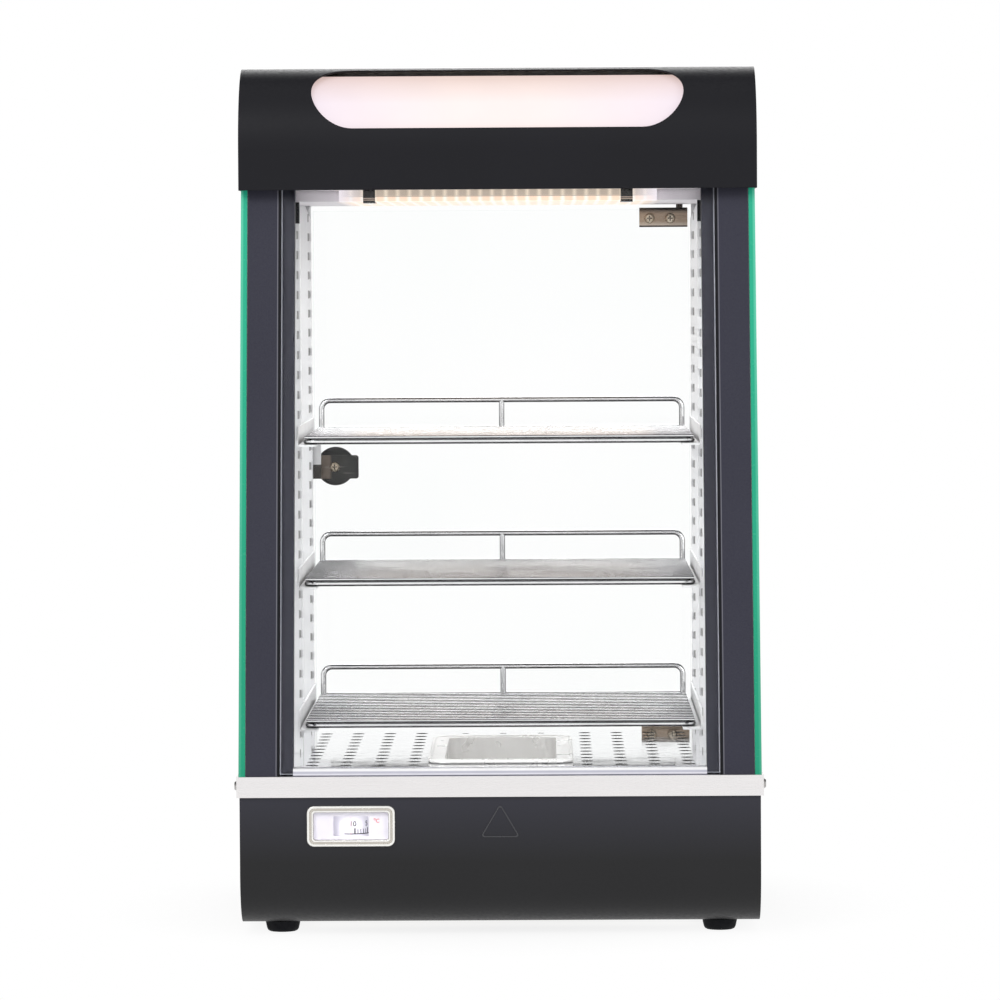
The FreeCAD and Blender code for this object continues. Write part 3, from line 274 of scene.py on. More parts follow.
def glazing(name, facing, cut_colours=None):
    """Clear float glass: faint smears on the faces and cut edges. facing is the pane's normal.
    The cut edges are green, deeper on the inner side with a thin painted shadow line along it, unless
    cut_colours gives another pair. Every cut edge also has a faint painted glow."""
    s = Surface(name)
    normal = s.add("TexCoord").outputs["Normal"]
    lined = s.add("VectorMath", {0: normal, 1: facing}, operation="DOT_PRODUCT").outputs["Value"]
    edge = s.math("LESS_THAN", s.math("ABSOLUTE", lined), 0.7)
    smear = s.noise(7, detail=3)
    pane = s.add("BsdfPrincipled", {
        "Base Color": s.mix(smear, (1.0, 1.0, 1.0), (0.985, 0.993, 0.99)),
        "Roughness": s.noise(18, low=0.0, high=0.01),
        "Transmission Weight": 1.0,
        "IOR": 1.17,
    }).outputs[0]
    open_pane = s.add("BsdfTransparent", {"Color": (0.985, 0.995, 0.99, 1)}).outputs[0]
    shadow = s.add("LightPath").outputs["Is Shadow Ray"]
    pane = s.add("MixShader", {0: shadow, 1: pane, 2: open_pane}).outputs[0]
    streak = s.noise(60, stretch=(1, 1, 0.03), detail=2)
    if cut_colours:
        tone = s.mix(streak, *cut_colours)
    else:
        out = s.math("ABSOLUTE", s.axis("X"))
        inner, outer = GLASS_EDGE_X
        thick = outer - inner
        tone = s.mix(s.remap(out, inner + 0.55 * thick, inner + 0.75 * thick),
                     (0.022, 0.38, 0.235), (0.11, 0.53, 0.37))
        tone = s.mix(s.math("MULTIPLY", streak, 0.3), tone, (0.012, 0.27, 0.16))
        # painted shadow: a thin dark line along the inner side of the cut edge
        tone = s.mix(s.remap(out, inner + 0.5 * MM, inner + 0.2 * MM), tone, (0.005, 0.11, 0.07))
        tone = s.mix(s.remap(s.axis("Z"), 0.50, 0.112, 0.08, 0.62), tone, (0.006, 0.20, 0.10))
    cut = s.add("BsdfPrincipled", {
        "Base Color": tone,
        "Roughness": s.noise(400, low=0.12, high=0.3),
        "Specular IOR Level": 0.25,
        # a faint painted glow on the cut edges, standing in for light carried along the glass
        "Emission Color": tone,
        "Emission Strength": 0.16,
    }).outputs[0]
    return s.finish(s.add("MixShader", {0: edge, 1: pane, 2: cut}).outputs[0])


def clear_plastic(name, tint):
    """Thin clear moulding with a ripple from the mould."""
    s = Surface(name)
    clear = s.add("BsdfPrincipled", {
        "Base Color": s.mix(s.noise(50), tint, [0.97 * c for c in tint]),
        "Roughness": s.noise(120, low=0.02, high=0.07),
        "Transmission Weight": 1.0,
        "IOR": 1.25,
        "Normal": s.bump(s.noise(90, detail=1), 0.1 * MM, 0.3),
    }).outputs[0]
    open_clear = s.add("BsdfTransparent", {"Color": (*tint, 1)}).outputs[0]
    shadow = s.add("LightPath").outputs["Is Shadow Ray"]
    return s.finish(s.add("MixShader", {0: shadow, 1: clear, 2: open_clear}).outputs[0])


def lit_panel(name):
    """Opal acrylic lit from behind: warm in the middle, cooler at the ends, peach along the top."""
    s = Surface(name)
    across = s.math("ABSOLUTE", s.axis("X"))
    ends = s.remap(across, 0.03, 0.128)
    low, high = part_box("light_panel")
    height = s.remap(s.axis("Z"), low.z, high.z)
    glow = s.mix(ends, (0.74, 0.64, 0.62), (0.70, 0.60, 0.64))
    top = s.remap(height, 0.60, 0.93)
    glow = s.mix(s.math("MULTIPLY", top, 0.7), glow, (0.58, 0.40, 0.33))
    mottle = s.noise(35, detail=2, low=0.97, high=1.0)
    return s.finish(s.add("BsdfPrincipled", {
        "Base Color": s.mix(ends, (0.27, 0.25, 0.25), (0.24, 0.23, 0.26)),
        "Roughness": s.noise(200, low=0.28, high=0.4),
        "Specular IOR Level": 0.2,
        "Emission Color": glow,
        "Emission Strength": mottle,
    }).outputs[0])


def glowing_cover(name):
    """Frosted lamp cover: a bright blur at every chip in two rows, with a seam between the rows."""
    s = Surface(name)
    low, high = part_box("light_cover")
    chip = s.chips(0.48, 0.98)
    height = s.remap(s.axis("Z"), low.z, high.z)
    upper = s.remap(height, 0.42, 0.5)
    ends = s.remap(s.math("ABSOLUTE", s.axis("X")), 0.09, 0.112)
    lower_row = s.mix(chip, (0.93, 0.70, 0.53), (1.0, 0.95, 0.86))
    upper_row = s.mix(chip, (0.44, 0.36, 0.29), (0.74, 0.63, 0.51))
    tone = s.mix(upper, lower_row, upper_row)
    seam = s.band(height, 0.36, 0.41, 0.43, 0.48)
    tone = s.mix(s.math("MULTIPLY", seam, 0.75), tone, (0.24, 0.18, 0.15))
    tone = s.mix(ends, tone, (0.80, 0.74, 0.80))
    return s.finish(s.add("BsdfPrincipled", {
        "Base Color": (0.12, 0.11, 0.10, 1),
        "Roughness": s.noise(300, low=0.35, high=0.5),
        "Emission Color": tone,
        "Emission Strength": s.noise(60, detail=2, low=0.96, high=1.06),
    }).outputs[0])


def banded_clip(name):
    """Glossy black strap with two thin bright lines where the lamp shows past its ribs."""
    s = Surface(name)
    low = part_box("light_clips")[0].z
    tone = s.mix(s.noise(60), (0.006, 0.005, 0.005), (0.02, 0.016, 0.014))
    for height in (2.1, 3.3):
        off = s.math("ABSOLUTE", s.math("SUBTRACT", s.axis("Z"), low + height * MM))
        line = s.remap(off, 0.42 * MM, 0.12 * MM)
        tone = s.mix(line, tone, (0.62, 0.47, 0.38))
    return s.finish(s.add("BsdfPrincipled", {
        "Base Color": tone,
        "Roughness": s.noise(200, low=0.12, high=0.25),
    }).outputs[0])


def clamp_steel(name, low):
    """Brown bronzed steel clamp; low is its bottom edge. Light and shade are painted by height: a pale
    highlight band above the bottom edge, and dark shade on the top fold and along the bottom edge.
    """
    s = Surface(name)
    height = s.remap(s.axis("Z"), low, low + CLAMP_TALL)
    fine = s.noise(9, stretch=BRUSHING, detail=4)
    cloud = s.noise(60, detail=3)
    tone = s.mix(cloud, (0.46, 0.36, 0.27), (0.33, 0.25, 0.19))
    # painted highlight and shade bands, by height on the face
    tone = s.mix(s.remap(height, 0.30, 0.12), tone, (0.60, 0.52, 0.44))
    tone = s.mix(s.remap(height, 0.66, 0.90), tone, (0.05, 0.042, 0.038))
    tone = s.mix(s.remap(height, 0.10, 0.05), tone, (0.045, 0.036, 0.03))
    tone = s.mix(s.math("MULTIPLY", fine, 0.25), tone, (0.12, 0.09, 0.07))
    return s.finish(s.add("BsdfPrincipled", {
        "Base Color": tone,
        "Metallic": 0.85,
        "Roughness": s.noise(9, stretch=BRUSHING, detail=4, low=0.24, high=0.4),
        "Normal": s.bump(fine, 0.012 * MM, 0.5, s.edges(0.3 * MM)[1]),
    }).outputs[0])


def worn_black_steel(name):
    """Blackened strike plate, rubbed brown along its left end and scratched across."""
    s = Surface(name)
    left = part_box("strike_plate")[0].x
    scratch = s.remap(s.noise(40, stretch=(1.2, 1, 14), detail=4), 0.72, 0.95)
    tone = s.mix(s.noise(130, detail=3), (0.062, 0.062, 0.060), (0.040, 0.040, 0.041))
    rubbed = s.remap(s.axis("X"), left + 9 * MM, left + 7 * MM)
    tone = s.mix(s.math("MULTIPLY", rubbed, 0.8), tone, (0.21, 0.17, 0.14))
    tone = s.mix(s.math("MULTIPLY", scratch, 0.5), tone, (0.30, 0.28, 0.26))
    return s.finish(s.add("BsdfPrincipled", {
        "Base Color": tone,
        "Metallic": 0.7,
        "Roughness": s.noise(200, low=0.32, high=0.5),
        "Normal": s.bump(scratch, 0.02 * MM, 0.5, s.edges(0.3 * MM)[1]),
    }).outputs[0])


def satin(name, base, dark, metallic=0.55, rough=(0.38, 0.5), shade=(4.0, 0.55)):
    """Matt pickled sheet steel: cloudy light grey with faint rolling lines along its length.
    shade is how wide, in mm, and how deep the darkening is in corners and punched slots."""
    s = Surface(name)
    rolled = s.noise(10, stretch=(60, 60, 2), detail=3)
    cloud = s.noise(22, detail=3)
    tone = s.mix(s.math("MULTIPLY", cloud, 0.6), base, dark)
    tone = s.mix(s.math("MULTIPLY", rolled, 0.3), tone, dark)
    reach, depth = shade
    tone = s.mix(s.remap(s.corners(reach * MM), 0.85, 0.3, 0.0, depth), tone, (0.10, 0.10, 0.11))
    return s, tone, {
        "Metallic": metallic,
        "Roughness": s.noise(60, low=rough[0], high=rough[1]),
        "Normal": s.bump(rolled, 0.01 * MM, 0.4, s.edges(0.25 * MM)[1]),
    }


def plain_satin(*values, **more):
    s, tone, inputs = satin(*values, **more)
    return s.finish(s.add("BsdfPrincipled", {**inputs, "Base Color": tone}).outputs[0])


def slotted_satin(name):
    """The uprights' steel, with a painted shadow line beside every punched slot."""
    s, tone, inputs = satin(name, (0.93, 0.93, 0.94), (0.80, 0.80, 0.82), shade=(3.0, 0.22))
    half = SLOT_TALL / 2
    off = s.math("PINGPONG", s.math("SUBTRACT", s.axis("Z"), FIRST_SLOT + half), SLOT_PITCH / 2)
    at_slot = s.remap(off, half + 0.3 * MM, half)
    beside = s.band(s.math("ABSOLUTE", s.axis("X")), 143.4 * MM, 143.6 * MM, 144.1 * MM, 144.4 * MM)
    # painted shadow: a thin dark line beside every punched slot
    burr = s.math("MULTIPLY", at_slot, beside)
    tone = s.mix(s.math("MULTIPLY", burr, 0.6), tone, (0.11, 0.095, 0.08))
    return s.finish(s.add("BsdfPrincipled", {**inputs, "Base Color": tone}).outputs[0])


def ceiling_steel(name):
    """The ceiling's steel: lamp light and its dots on the underside, cooler past the lamp's ends."""
    s, tone, inputs = satin(name, (0.80, 0.76, 0.80), (0.70, 0.66, 0.70))
    chip = s.chips(0.45, 1.0)
    under = s.remap(s.facing("Z"), -0.5, -0.9)
    lit = s.remap(s.math("ABSOLUTE", s.axis("X")), 0.117, 0.105)
    lit = s.math("MULTIPLY", lit, under)
    glow = s.mix(chip, (0.86, 0.66, 0.50), (1.0, 0.93, 0.84))
    inputs["Emission Color"] = glow
    inputs["Emission Strength"] = s.math("MULTIPLY", lit, 0.62)
    tone = s.mix(s.math("MULTIPLY", lit, 0.6), tone, (0.35, 0.27, 0.20))
    return s.finish(s.add("BsdfPrincipled", {**inputs, "Base Color": tone}).outputs[0])


def sill_steel(name):
    """The front channel's steel: a dark joint at the bottom, with a painted cool reflection band over it
    and a painted bright highlight along the rim.
    """
    s, tone, inputs = satin(name, (0.90, 0.90, 0.91), (0.78, 0.78, 0.80))
    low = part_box("front_sill")[0].z
    height = s.math("SUBTRACT", s.axis("Z"), low)
    # painted light by height: a cool reflection band and a bright highlight above the dark joint
    tone = s.mix(s.remap(height, 3.6 * MM, 3.0 * MM), tone, (0.50, 0.50, 0.58))
    tone = s.mix(s.remap(height, 2.1 * MM, 1.5 * MM), tone, (0.70, 0.70, 0.76))
    tone = s.mix(s.remap(height, 0.75 * MM, 0.5 * MM), tone, (0.12, 0.12, 0.16))
    return s.finish(s.add("BsdfPrincipled", {**inputs, "Base Color": tone}).outputs[0])


def catch_body(name):
    """The magnet catch: its bracket is pale steel above and its magnet is dark below."""
    s, tone, inputs = satin(name, (0.84, 0.84, 0.85), (0.66, 0.66, 0.68))
    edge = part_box("magnet_catch")[0].z + 10.5 * MM
    dark = s.mix(s.noise(150), (0.045, 0.042, 0.040), (0.075, 0.068, 0.062))
    tone = s.mix(s.remap(s.axis("Z"), edge + 0.3 * MM, edge), tone, dark)
    return s.finish(s.add("BsdfPrincipled", {**inputs, "Base Color": tone}).outputs[0])


def stepped_silver(name):
    """The thermometer's bezel: bright raised edges, with painted shade: grey where the frame steps back and
    darker in its corners.
    """
    s = Surface(name)
    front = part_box("thermometer_bezel")[0].y
    depth = s.math("SUBTRACT", s.axis("Y"), front)
    haze = s.noise(90, detail=3)
    tone = s.mix(haze, (0.95, 0.94, 0.91), (0.88, 0.87, 0.84))
    # painted shade: grey on the stepped-back parts and darker in corners
    tone = s.mix(s.remap(depth, 0.45 * MM, 0.95 * MM), tone, (0.60, 0.57, 0.52))
    tone = s.mix(s.remap(s.corners(1.2 * MM), 0.8, 0.4, 0.0, 0.3), tone, (0.3, 0.28, 0.26))
    return s.finish(s.add("BsdfPrincipled", {
        "Base Color": tone,
        "Metallic": 0.75,
        "Roughness": s.noise(160, low=0.18, high=0.3),
        "Normal": s.bump(haze, 0.01 * MM, 0.3),
    }).outputs[0])


def lit_white(name, emission):
    """White dial plastic with a painted glow that lifts it out of shade; the last argument sets how strong
    the glow is.
    """
    s = Surface(name)
    tone = s.mix(s.noise(60), (0.84, 0.83, 0.89), (0.78, 0.77, 0.85))
    return s.finish(s.add("BsdfPrincipled", {
        "Base Color": tone,
        "Roughness": s.noise(300, low=0.35, high=0.5),
        # painted glow: the plastic shines a little though it is no lamp
        "Emission Color": tone,
        "Emission Strength": emission,
    }).outputs[0])


def screw_steel(name, base=(0.74, 0.71, 0.66), dark=(0.60, 0.57, 0.53)):
    """Plated screws: bright heads, with painted shade in the cross recess and round the rim."""
    s = Surface(name)
    tone = s.mix(s.noise(200), base, dark)
    # painted shade: darker in the cross recess and round the rim
    tone = s.mix(s.remap(s.corners(1.6 * MM), 0.92, 0.55), tone, (0.03, 0.026, 0.022))
    tone = s.mix(s.math("MULTIPLY", s.edges(0.35 * MM, 0.02, 0.2)[0], 0.6), tone, (0.10, 0.085, 0.07))
    return s.finish(s.add("BsdfPrincipled", {
        "Base Color": tone,
        "Metallic": 0.9,
        "Roughness": s.noise(300, low=0.2, high=0.34),
        "Normal": s.bump(s.noise(500), 0.01 * MM, 0.3, s.edges(0.2 * MM)[1]),
    }).outputs[0])


def lamp_board(name, chip_z, strength, tint):
    """Pale circuit board whose chips, below chip_z, glow."""
    s = Surface(name)
    lit = s.math("LESS_THAN", s.axis("Z"), chip_z)
    return s.finish(s.add("BsdfPrincipled", {
        "Base Color": s.mix(s.noise(500), (0.82, 0.82, 0.78), (0.9, 0.9, 0.87)),
        "Roughness": s.noise(300, low=0.35, high=0.5),
        "Emission Color": (*tint, 1),
        "Emission Strength": s.math("MULTIPLY", lit, strength),
    }).outputs[0])


def heat_tint(name):
    """Heater tube steel, browned by heat in patches."""
    s = Surface(name)
    patch = s.noise(45, detail=3)
    return s.finish(s.add("BsdfPrincipled", {
        "Base Color": s.mix(patch, (0.5, 0.47, 0.44), (0.36, 0.27, 0.19)),
        "Metallic": 0.9,
        "Roughness": s.noise(300, low=0.3, high=0.5),
        "Normal": s.bump(s.noise(700), 0.03 * MM, 0.4),
    }).outputs[0])


def white_floor():
    """Pale floor that glows white, fully so away from the case, with a faint shadow near it."""
    s = Surface("studio_floor")
    far = s.add("VectorMath", {0: s.place}, operation="LENGTH").outputs["Value"]
    near = s.add("BsdfPrincipled", {
        "Base Color": s.mix(s.noise(2), (0.90, 0.90, 0.90), (0.92, 0.92, 0.92)),
        "Roughness": s.noise(30, low=0.6, high=0.7),
        "Specular IOR Level": 0.1,
    }).outputs[0]
    white = s.add("Emission", {"Color": (1, 1, 1, 1), "Strength": 1.0}).outputs[0]
    glow = s.remap(far, 0.08, 0.30, 0.78, 1.0)
    return s.finish(s.add("MixShader", {0: glow, 1: near, 2: white}).outputs[0])


def materials():
    """One material for every slot of the record, apart from the glass, which dress() makes."""
    chip_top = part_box("led_strip")[0].z + 0.7 * MM
    clamp_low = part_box("bottom_hinge_clamp")[1].z - CLAMP_TALL
    return {
        "black_coat": coated("black_coat", (0.0065, 0.007, 0.010), (0.011, 0.012, 0.016)),
        "black_frame": pillar_coat("black_frame"),
        "trim_steel": brushed("trim_steel", (0.87, 0.85, 0.85), (0.78, 0.76, 0.76)),
        "polished_steel": polished("polished_steel", (0.93, 0.93, 0.94), (0.86, 0.86, 0.88)),
        "satin_steel": plain_satin("satin_steel", (0.88, 0.88, 0.89), (0.72, 0.72, 0.74)),
        "dark_steel": worn_black_steel("dark_steel"),
        "zinc_steel": screw_steel("zinc_steel"),
        "chrome_wire": wire_chrome("chrome_wire"),
        "clamp_metal": clamp_steel("clamp_metal", clamp_low),
        "clear_plastic": clear_plastic("clear_plastic", (0.98, 0.97, 0.97)),
        "diffuser": lit_panel("diffuser"),
        "white_plastic": lit_white("white_plastic", 0.05),
        "bezel_silver": stepped_silver("bezel_silver"),
        "black_plastic": moulded("black_plastic", (0.012, 0.012, 0.013), (0.022, 0.022, 0.023)),
        "red_lens": moulded("red_lens", (0.6, 0.02, 0.01), (0.75, 0.05, 0.03), coat=0.8),
        "rubber": moulded("rubber", (0.0030, 0.0033, 0.0048), (0.006, 0.0065, 0.009),
                          rough=(0.6, 0.8), specular=0.15),
        "board": lamp_board("board", chip_top, 9.0, (1.0, 0.74, 0.45)),
        "sheath": heat_tint("sheath"),
    }


def dress(finishes):
    """Gives every CAD node the material of its slot. A few nodes have one of their own."""
    slant = math.atan(GLASS_SLOPE)
    slotted = slotted_satin("slotted_satin")
    base_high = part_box("base_shell")[1].z
    own = {
        # the front glass's pale grey cut edge is a painted highlight
        "front_glass": glazing("glass_front", (0, -math.cos(slant), math.sin(slant)),
                               ((0.62, 0.64, 0.70), (0.46, 0.48, 0.54))),
        "side_glass_left": glazing("glass_left", (1, 0, 0)),
        "side_glass_right": glazing("glass_right", (1, 0, 0)),
        "door_glass": glazing("glass_door", (0, 1, 0), ((0.55, 0.70, 0.64), (0.40, 0.58, 0.52))),
        "light_cover": glowing_cover("glowing_cover"),
        "light_clips": banded_clip("banded_clip"),
        "top_hinge_clamp": clamp_steel("clamp_top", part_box("top_hinge_clamp")[0].z),
        "water_tray": plain_satin("tray_steel", (0.90, 0.89, 0.88), (0.80, 0.79, 0.78), 0.45, (0.25, 0.36)),
        "ceiling_plate": ceiling_steel("ceiling_steel"),
        "front_sill": sill_steel("sill_steel"),
        "front_uprights": slotted,
        "rear_uprights": slotted,
        "magnet_catch": catch_body("catch_body"),
        "door_screws": screw_steel("door_screw_steel", (0.66, 0.58, 0.47), (0.46, 0.39, 0.30)),
        "case_screws": screw_steel("case_screw_steel", (0.55, 0.54, 0.53), (0.40, 0.39, 0.38)),
        # the drum gets a stronger painted glow so that its sides do not fall into shade
        "thermometer_drum": lit_white("drum_white", 0.42),
        # the base's upper part gets the painted lighter tint
        "base_shell": coated("base_coat", (0.0075, 0.0075, 0.0085), (0.0115, 0.0115, 0.013),
                             upper=((0.030, 0.030, 0.043), 0.052, base_high)),
        "hood_shell": coated("hood_coat", (0.0050, 0.0050, 0.0074), (0.0085, 0.0085, 0.0125), specular=0.2),
    }
    for part in frame["record"]["subparts"]:
        node = part["node"]
        material = own.get(node) or finishes[part["material_slot"]]
        nodes[node].data.materials.clear()
        nodes[node].data.materials.append(material)


# ---------------------------------------------------------------- pieces with finer shapes


def piece(name, shape, material, body, replaced=()):
    """Turns a bmesh into an object of the model that rides on body."""
    bmesh.ops.recalc_face_normals(shape, faces=shape.faces)
    mesh = bpy.data.meshes.new(name)
    shape.to_mesh(mesh)
    shape.free()
    mesh.materials.append(material)
    mesh.shade_smooth()
    mesh.set_sharp_from_angle(angle=math.radians(38))
    made = bpy.data.objects.new(name, mesh)
    bpy.context.scene.collection.objects.link(made)
    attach(made, body)
    if replaced:
        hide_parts(*replaced)
    return made


def loft(shape, rings, closed=False):
    """Skins a row of equal rings. closed joins the last to the first, otherwise the ends are capped."""
    rows = [[shape.verts.new(point) for point in ring] for ring in rings]
    pairs = list(zip(rows, rows[1:] + rows[:1])) if closed else list(zip(rows, rows[1:]))
    for first, second in pairs:
        for index in range(len(first)):
            after = (index + 1) % len(first)
            shape.faces.new((first[index], first[after], second[after], second[index]))
    if not closed:
        shape.faces.new(rows[0])
        shape.faces.new(rows[-1])


def corner_ring(corners, radius, steps=6):
    """(a, b) points of a polygon, given anticlockwise, with every corner rounded."""
    points = []
    count = len(corners)
    for index, corner in enumerate(corners):
        here = Vector(corner)
        back = (Vector(corners[index - 1]) - here).normalized()
        ahead = (Vector(corners[(index + 1) % count]) - here).normalized()
        half = back.angle(ahead) / 2
        centre = here + (back + ahead).normalized() * radius / math.sin(half)
        start = here + back * radius / math.tan(half) - centre
        end = here + ahead * radius / math.tan(half) - centre
        sweep = start.angle(end)
        for step in range(steps + 1):
            along = step / steps
            blend = start * math.sin((1 - along) * sweep) + end * math.sin(along * sweep)
            points.append(centre + blend / math.sin(sweep))
    return points


def rectangle(half, tall):
    return [(-half, -tall), (half, -tall), (half, tall), (-half, tall)]


def meter_bezel(material):
    """The thermometer's stepped frame: a rounded outer rim, a groove and an inner lip."""
    low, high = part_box("thermometer_bezel")
    middle = (low + high) / 2
    front, back = low.y, high.y
    half, tall = (high.x - low.x) / 2, (high.z - low.z) / 2
    open_half = half - 4.75 * MM             # the window opening
    open_tall = tall - 4.85 * MM
    steps = [  # how far in from the outline, depth behind the front, corner radius, all in mm
        (0.0, 1.7, 5.0), (0.0, 0.9, 5.0), (0.35, 0.25, 4.7), (1.0, 0.0, 4.1), (1.6, 0.1, 3.6),
        (2.0, 0.7, 3.2), (2.2, 0.95, 3.0), (3.1, 0.95, 2.5), (3.4, 0.5, 2.3), (4.0, 0.35, 2.0),
        (4.4, 0.55, 1.7), (4.6, 1.0, 1.5),
    ]
    rings = []
    for inset, depth, corner in steps:
        outline = corner_ring(rectangle(half - inset * MM, tall - inset * MM), corner * MM)
        rings.append([(middle.x + a, front + depth * MM, middle.z + b) for a, b in outline])
    outline = corner_ring(rectangle(open_half, open_tall), 1.5 * MM)
    rings.append([(middle.x + a, back, middle.z + b) for a, b in outline])
    shape = bmesh.new()
    loft(shape, rings, closed=True)
    piece("meter_bezel", shape, material, "root", ["thermometer_bezel"])


def triangle_mark(material):
    """A plain raised triangle outline in the middle of the base."""
    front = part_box("base_shell")[0].y
    low, high, half = 69.2 * MM, 92.6 * MM, 13.8 * MM
    outer = [(-half, low), (half, low), (0, high)]
    middle = Vector((0, low + (high - low) / 3))
    rings = []
    steps = ((1.0, -0.02, 1.6), (0.985, 0.35, 1.5), (0.90, 0.35, 1.2), (0.885, -0.02, 1.1))
    for scale, depth, radius in steps:   # size, height in mm and corner radius in mm
        corners = [middle + (Vector(corner) - middle) * scale for corner in outer]
        rings.append([(a, front - depth * MM, b) for a, b in corner_ring(corners, radius * MM)])
    shape = bmesh.new()
    loft(shape, rings, closed=True)
    piece("triangle_mark", shape, material, "root")


def turned_feet(material):
    """Four rubber feet turned from one profile, with a rounded tread and a recess for the screw."""
    low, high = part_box("feet")
    tall = high.z
    foot_radius = 12.25 * MM
    profile = [  # radius and height in mm
        (12.25, tall / MM), (11.9, 5.6), (11.4, 3.2), (11.0, 1.8), (10.3, 0.7), (9.2, 0.12), (8.2, 0.0),
        (5.6, 0.0), (5.1, 0.35), (5.0, 3.0), (2.1, 3.0), (2.1, tall / MM),
    ]
    shape = bmesh.new()
    for x in (low.x + foot_radius, high.x - foot_radius):
        for y in (low.y + foot_radius, high.y - foot_radius):
            rings = [[(x + radius * MM * math.cos(math.tau * step / 40),
                       y + radius * MM * math.sin(math.tau * step / 40), height * MM)
                      for step in range(40)] for radius, height in profile]
            loft(shape, rings, closed=True)
    piece("turned_feet", shape, material, "root", ["feet"])


def letter_mesh(text, tall):
    """Flat faces of a text, centred, as (vertices, faces) in metres."""
    curve = bpy.data.curves.new("text", "FONT")
    curve.body = text
    curve.size = tall / 0.7
    curve.offset = 0.02 * tall
    curve.align_x = "CENTER"
    curve.align_y = "CENTER"
    made = bpy.data.objects.new("text", curve)
    bpy.context.scene.collection.objects.link(made)
    mesh = bpy.data.meshes.new_from_object(made.evaluated_get(bpy.context.evaluated_depsgraph_get()))
    points = [vertex.co.copy() for vertex in mesh.vertices]
    faces = [list(face.vertices) for face in mesh.polygons]
    bpy.data.objects.remove(made)
    bpy.data.curves.remove(curve)
    bpy.data.meshes.remove(mesh)
    return points, faces


def print_on(shape, points, faces, put):
    """Adds flat faces to shape; put turns a flat (a, b) into a place on the part."""
    verts = [shape.verts.new(put(point[0], point[1])) for point in points]
    for face in faces:
        shape.faces.new([verts[index] for index in face])


def bar(a, b, wide, tall, steps=1):
    """A flat bar centred on (a, b), split along its width so that it can be bent."""
    points = []
    for step in range(steps + 1):
        x = a - wide / 2 + wide * step / steps
        points += [(x, b - tall / 2), (x, b + tall / 2)]
    faces = [[2 * k, 2 * k + 2, 2 * k + 3, 2 * k + 1] for k in range(steps)]
    return points, faces


def drum_scale(material):
    """Numbers, ticks and a base line printed round the thermometer's drum."""
    low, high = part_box("thermometer_drum")
    centre = (low + high) / 2
    radius = (high.x - low.x) / 2 + 0.04 * MM

    def put(a, b):
        turn = a / radius
        return (centre.x + radius * math.sin(turn), centre.y - radius * math.cos(turn), centre.z + b)

    def degrees(turn):
        return math.radians(turn) * radius

    shape = bmesh.new()
    first, unit = 11.5, 9.3                  # where 10 stands and the angle of one unit
    base = -5.7 * MM
    print_on(shape, *bar(degrees(120), base, degrees(282), 0.7 * MM, 94), put)
    for step in range(26):
        long = step % 5 == 0
        wide, tall = (1.0 * MM, 4.0 * MM) if long else (0.55 * MM, 3.4 * MM)
        print_on(shape, *bar(degrees(first + unit * step), base + tall / 2, wide, tall, 2), put)
    for step, value in enumerate(("10", "5", "0", "-5", "-10")):
        points, faces = letter_mesh(value, 3.5 * MM)
        where = degrees(first + 5 * unit * step - 6)
        print_on(shape, [(p.x + where, p.y + 1.1 * MM) for p in points], faces, put)
    piece("drum_scale", shape, material, "scale_drum")


def meter_marks(material):
    """The fixed red pointer in front of the drum and a small degree mark on the face."""
    low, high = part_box("thermometer_face")
    x, z = (low.x + high.x) / 2, (low.z + high.z) / 2
    front = low.y - 0.05 * MM
    shape = bmesh.new()
    thick = 0.1 * MM
    pointer = []
    for height, wide in ((-6.4, 0.05), (-5.8, 0.09), (5.8, 0.09), (6.4, 0.05)):
        pointer.append([(x + wide * MM * a, front - thick + thick * b, z + height * MM)
                        for a, b in ((-1, 0), (0, -1), (1, 0), (0, 1))])
    loft(shape, pointer)
    ring_x, ring_z = x + 16.4 * MM, z + 4.6 * MM
    degree_ring = []
    for reach, depth in ((0.75, 0.0), (0.7125, 0.12), (0.45, 0.12), (0.4125, 0.0)):
        degree_ring.append([(ring_x + reach * MM * math.cos(math.tau * k / 20), front - depth * MM,
                             ring_z + reach * MM * math.sin(math.tau * k / 20)) for k in range(20)])
    loft(shape, degree_ring, closed=True)
    points, faces = letter_mesh("C", 2.6 * MM)
    print_on(shape, points, faces, lambda a, b: (x + 18.4 * MM + a, front, z + 3.4 * MM + b))
    piece("meter_marks", shape, material, "root")


def panel_marks(material):
    """White dial ticks and numbers round the thermostat knob, and on and off marks by the switches."""
    centre = sum(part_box("thermostat_knob"), Vector()) / 2
    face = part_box("control_panel")[1].y + 0.04 * MM

    def put(a, b):
        return (centre.x - a, face, centre.z + b)

    shape = bmesh.new()
    inner, outer, side = 18.4 * MM, 20.6 * MM, 0.3 * MM      # reach and half width of a tick
    for step in range(11):
        turn = math.radians(225 - 27 * step)
        across, up = math.cos(turn), math.sin(turn)
        corners = [(across * reach + up * shift, up * reach - across * shift)
                   for reach, shift in ((inner, -side), (outer, -side), (outer, side), (inner, side))]
        print_on(shape, corners, [[0, 1, 2, 3]], put)
        if step % 2 == 0:
            points, faces = letter_mesh(str(step // 2), 3.2 * MM)
            print_on(shape, [(p.x + across * 24 * MM, p.y + up * 23.4 * MM) for p in points], faces, put)
    for node in ("power_switch_housing", "light_switch_housing"):
        low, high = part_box(node)
        middle = centre.x - (low.x + high.x) / 2
        for text, height in (("I", high.z - centre.z + 4 * MM), ("0", low.z - centre.z - 4 * MM)):
            points, faces = letter_mesh(text, 3.2 * MM)
            print_on(shape, [(p.x + middle, p.y + height) for p in points], faces, put)
    piece("panel_marks", shape, material, "root")


